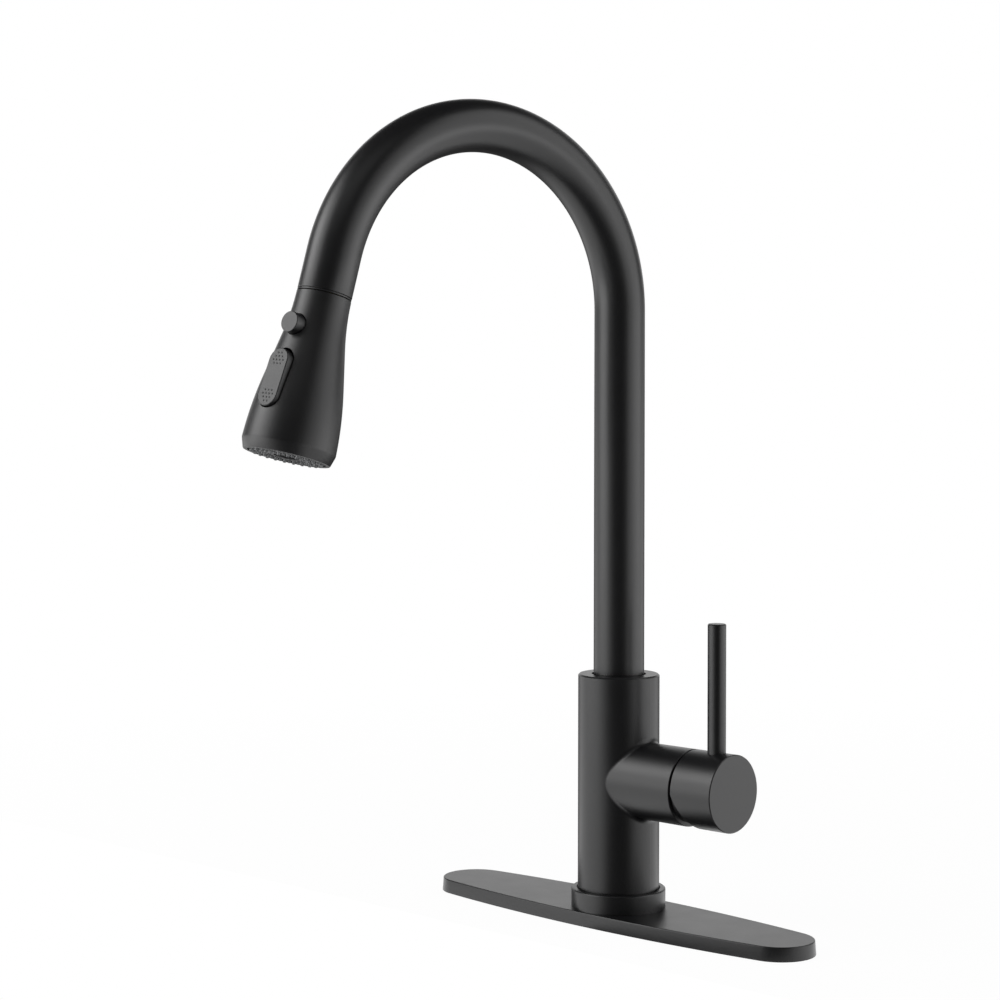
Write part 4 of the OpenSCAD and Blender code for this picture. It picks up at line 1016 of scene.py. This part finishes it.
def side_glow(rays, way):
    """What mirror rays see below: bright to both sides, and dark along the camera's line. In the world this is
    light; on the floor it is painted light, a glow that stands in for the floor lit by the soft boxes.
    """
    flat = vector_math(rays, "NORMALIZE", vector_math(rays, "MULTIPLY", way, (1, 1, 0)))
    facing = vector_math(rays, "DOT_PRODUCT", flat, view_line, output="Value")
    in_line = soft_step(rays, facing * facing, *front_edge)
    return (1 - in_line) * (floor_mirrored - floor_front) + floor_front


view_line = Vector((-camera_place.x, -camera_place.y, 0)).normalized()
world = bpy.data.worlds.new("studio")
world.use_nodes = True
bpy.context.scene.world = world
sky = world.node_tree
background = sky.nodes["Background"]
rays, glossy, through = light_path(sky)
way = rays.node("ShaderNodeTexCoord", {}, {}, "Generated")
behind = vector_math(rays, "DOT_PRODUCT", way, view_line, output="Value")
high = rays.node("ShaderNodeSeparateXYZ", {}, {"Vector": way}, "Z")
below = rays.node("ShaderNodeMath", {"operation": "LESS_THAN"}, {0: high, 1: 0.0})
wall = soft_step(rays, behind, math.cos(wall_half_width * 1.5), math.cos(wall_half_width * 0.5))
low = soft_step(rays, high, *wall_top) * soft_step(rays, high, *wall_foot)
above = dark_side + wall * low * (wall_light - dark_side)
mirrored = above + below * (side_glow(rays, way) - above)
seen = rays + through
filled = below * (bowl_light - fill_light) + fill_light
level = seen + glossy * mirrored + (1 - seen - glossy) * filled
sky.links.new(level.socket, background.inputs["Strength"])
background.inputs["Color"].default_value = (1, 1, 1, 1)

floor_material = bpy.data.materials.new("floor")
floor_material.use_nodes = True
tree = floor_material.node_tree
paper = tree.nodes["Principled BSDF"]
paper.inputs["Base Color"].default_value = (0.9, 0.9, 0.9, 1)
paper.inputs["Roughness"].default_value = 0.8
paper.inputs["Specular IOR Level"].default_value = 0.1
rays, glossy, through = light_path(tree)
place = rays.node("ShaderNodeTexCoord", {}, {}, "Object")
distance = vector_math(rays, "LENGTH", place, output="Value")
far = rays.node(
    "ShaderNodeMapRange", {}, {"Value": distance, "From Min": floor_near, "From Max": floor_far}
)
# Painted light: for mirror rays the floor glows, bright to both sides and dark along the camera's line, as if the
# soft boxes lit it.
painted_floor_light = 1 + glossy * (side_glow(rays, place) - 1)
white = rays.node("ShaderNodeEmission", {}, {"Strength": painted_floor_light})
share = glossy + (rays + through) * (floor_white + far * (1 - floor_white))
both = tree.nodes.new("ShaderNodeMixShader")
tree.links.new(share.socket, both.inputs[0])
tree.links.new(paper.outputs[0], both.inputs[1])
tree.links.new(white.socket, both.inputs[2])
tree.links.new(both.outputs[0], tree.nodes["Material Output"].inputs["Surface"])
bm = bmesh.new()
bmesh.ops.create_grid(bm, x_segments=1, y_segments=1, size=6)
bmesh.ops.bisect_plane(
    bm, geom=bm.faces[:] + bm.edges[:] + bm.verts[:], plane_co=(0, bowl_edge, 0),
    plane_no=(0, 1, 0), clear_inner=True,
)
mesh = bpy.data.meshes.new("floor")
bm.to_mesh(mesh)
bm.free()
mesh.materials.append(floor_material)
floor = bpy.data.objects.new("floor", mesh)
bpy.context.scene.collection.objects.link(floor)


def soft_box(name, angle, distance, height, width, tall, radiance):
    """A rectangular lamp at a plan angle, turned to the middle of the faucet."""
    lamp = bpy.data.lights.new(name, "AREA")
    lamp.shape = "RECTANGLE"
    lamp.size = width
    lamp.size_y = tall
    lamp.energy = radiance * math.pi * width * tall
    body = bpy.data.objects.new(name, lamp)
    around = math.radians(angle)
    body.location = (distance * math.cos(around), distance * math.sin(around), height)
    aim = lamp_aim - body.location
    body.rotation_euler = aim.to_track_quat("-Z", "Y").to_euler()
    body.visible_camera = False
    bpy.context.scene.collection.objects.link(body)


soft_box("left_box", -125, 1.2, 0.68, 1.1, 1.4, 2.7)
soft_box("head_box", -130, 0.9, 0.72, 0.4, 0.4, 2.8)
soft_box("right_box", 38, 1.2, 0.5, 1.0, 2.4, 1.7)
soft_box("right_fill", 4, 1.5, 0.65, 0.8, 1.3, 0.8)
soft_box("front_box", -62, 0.9, 1.35, 0.9, 0.8, 0.45)
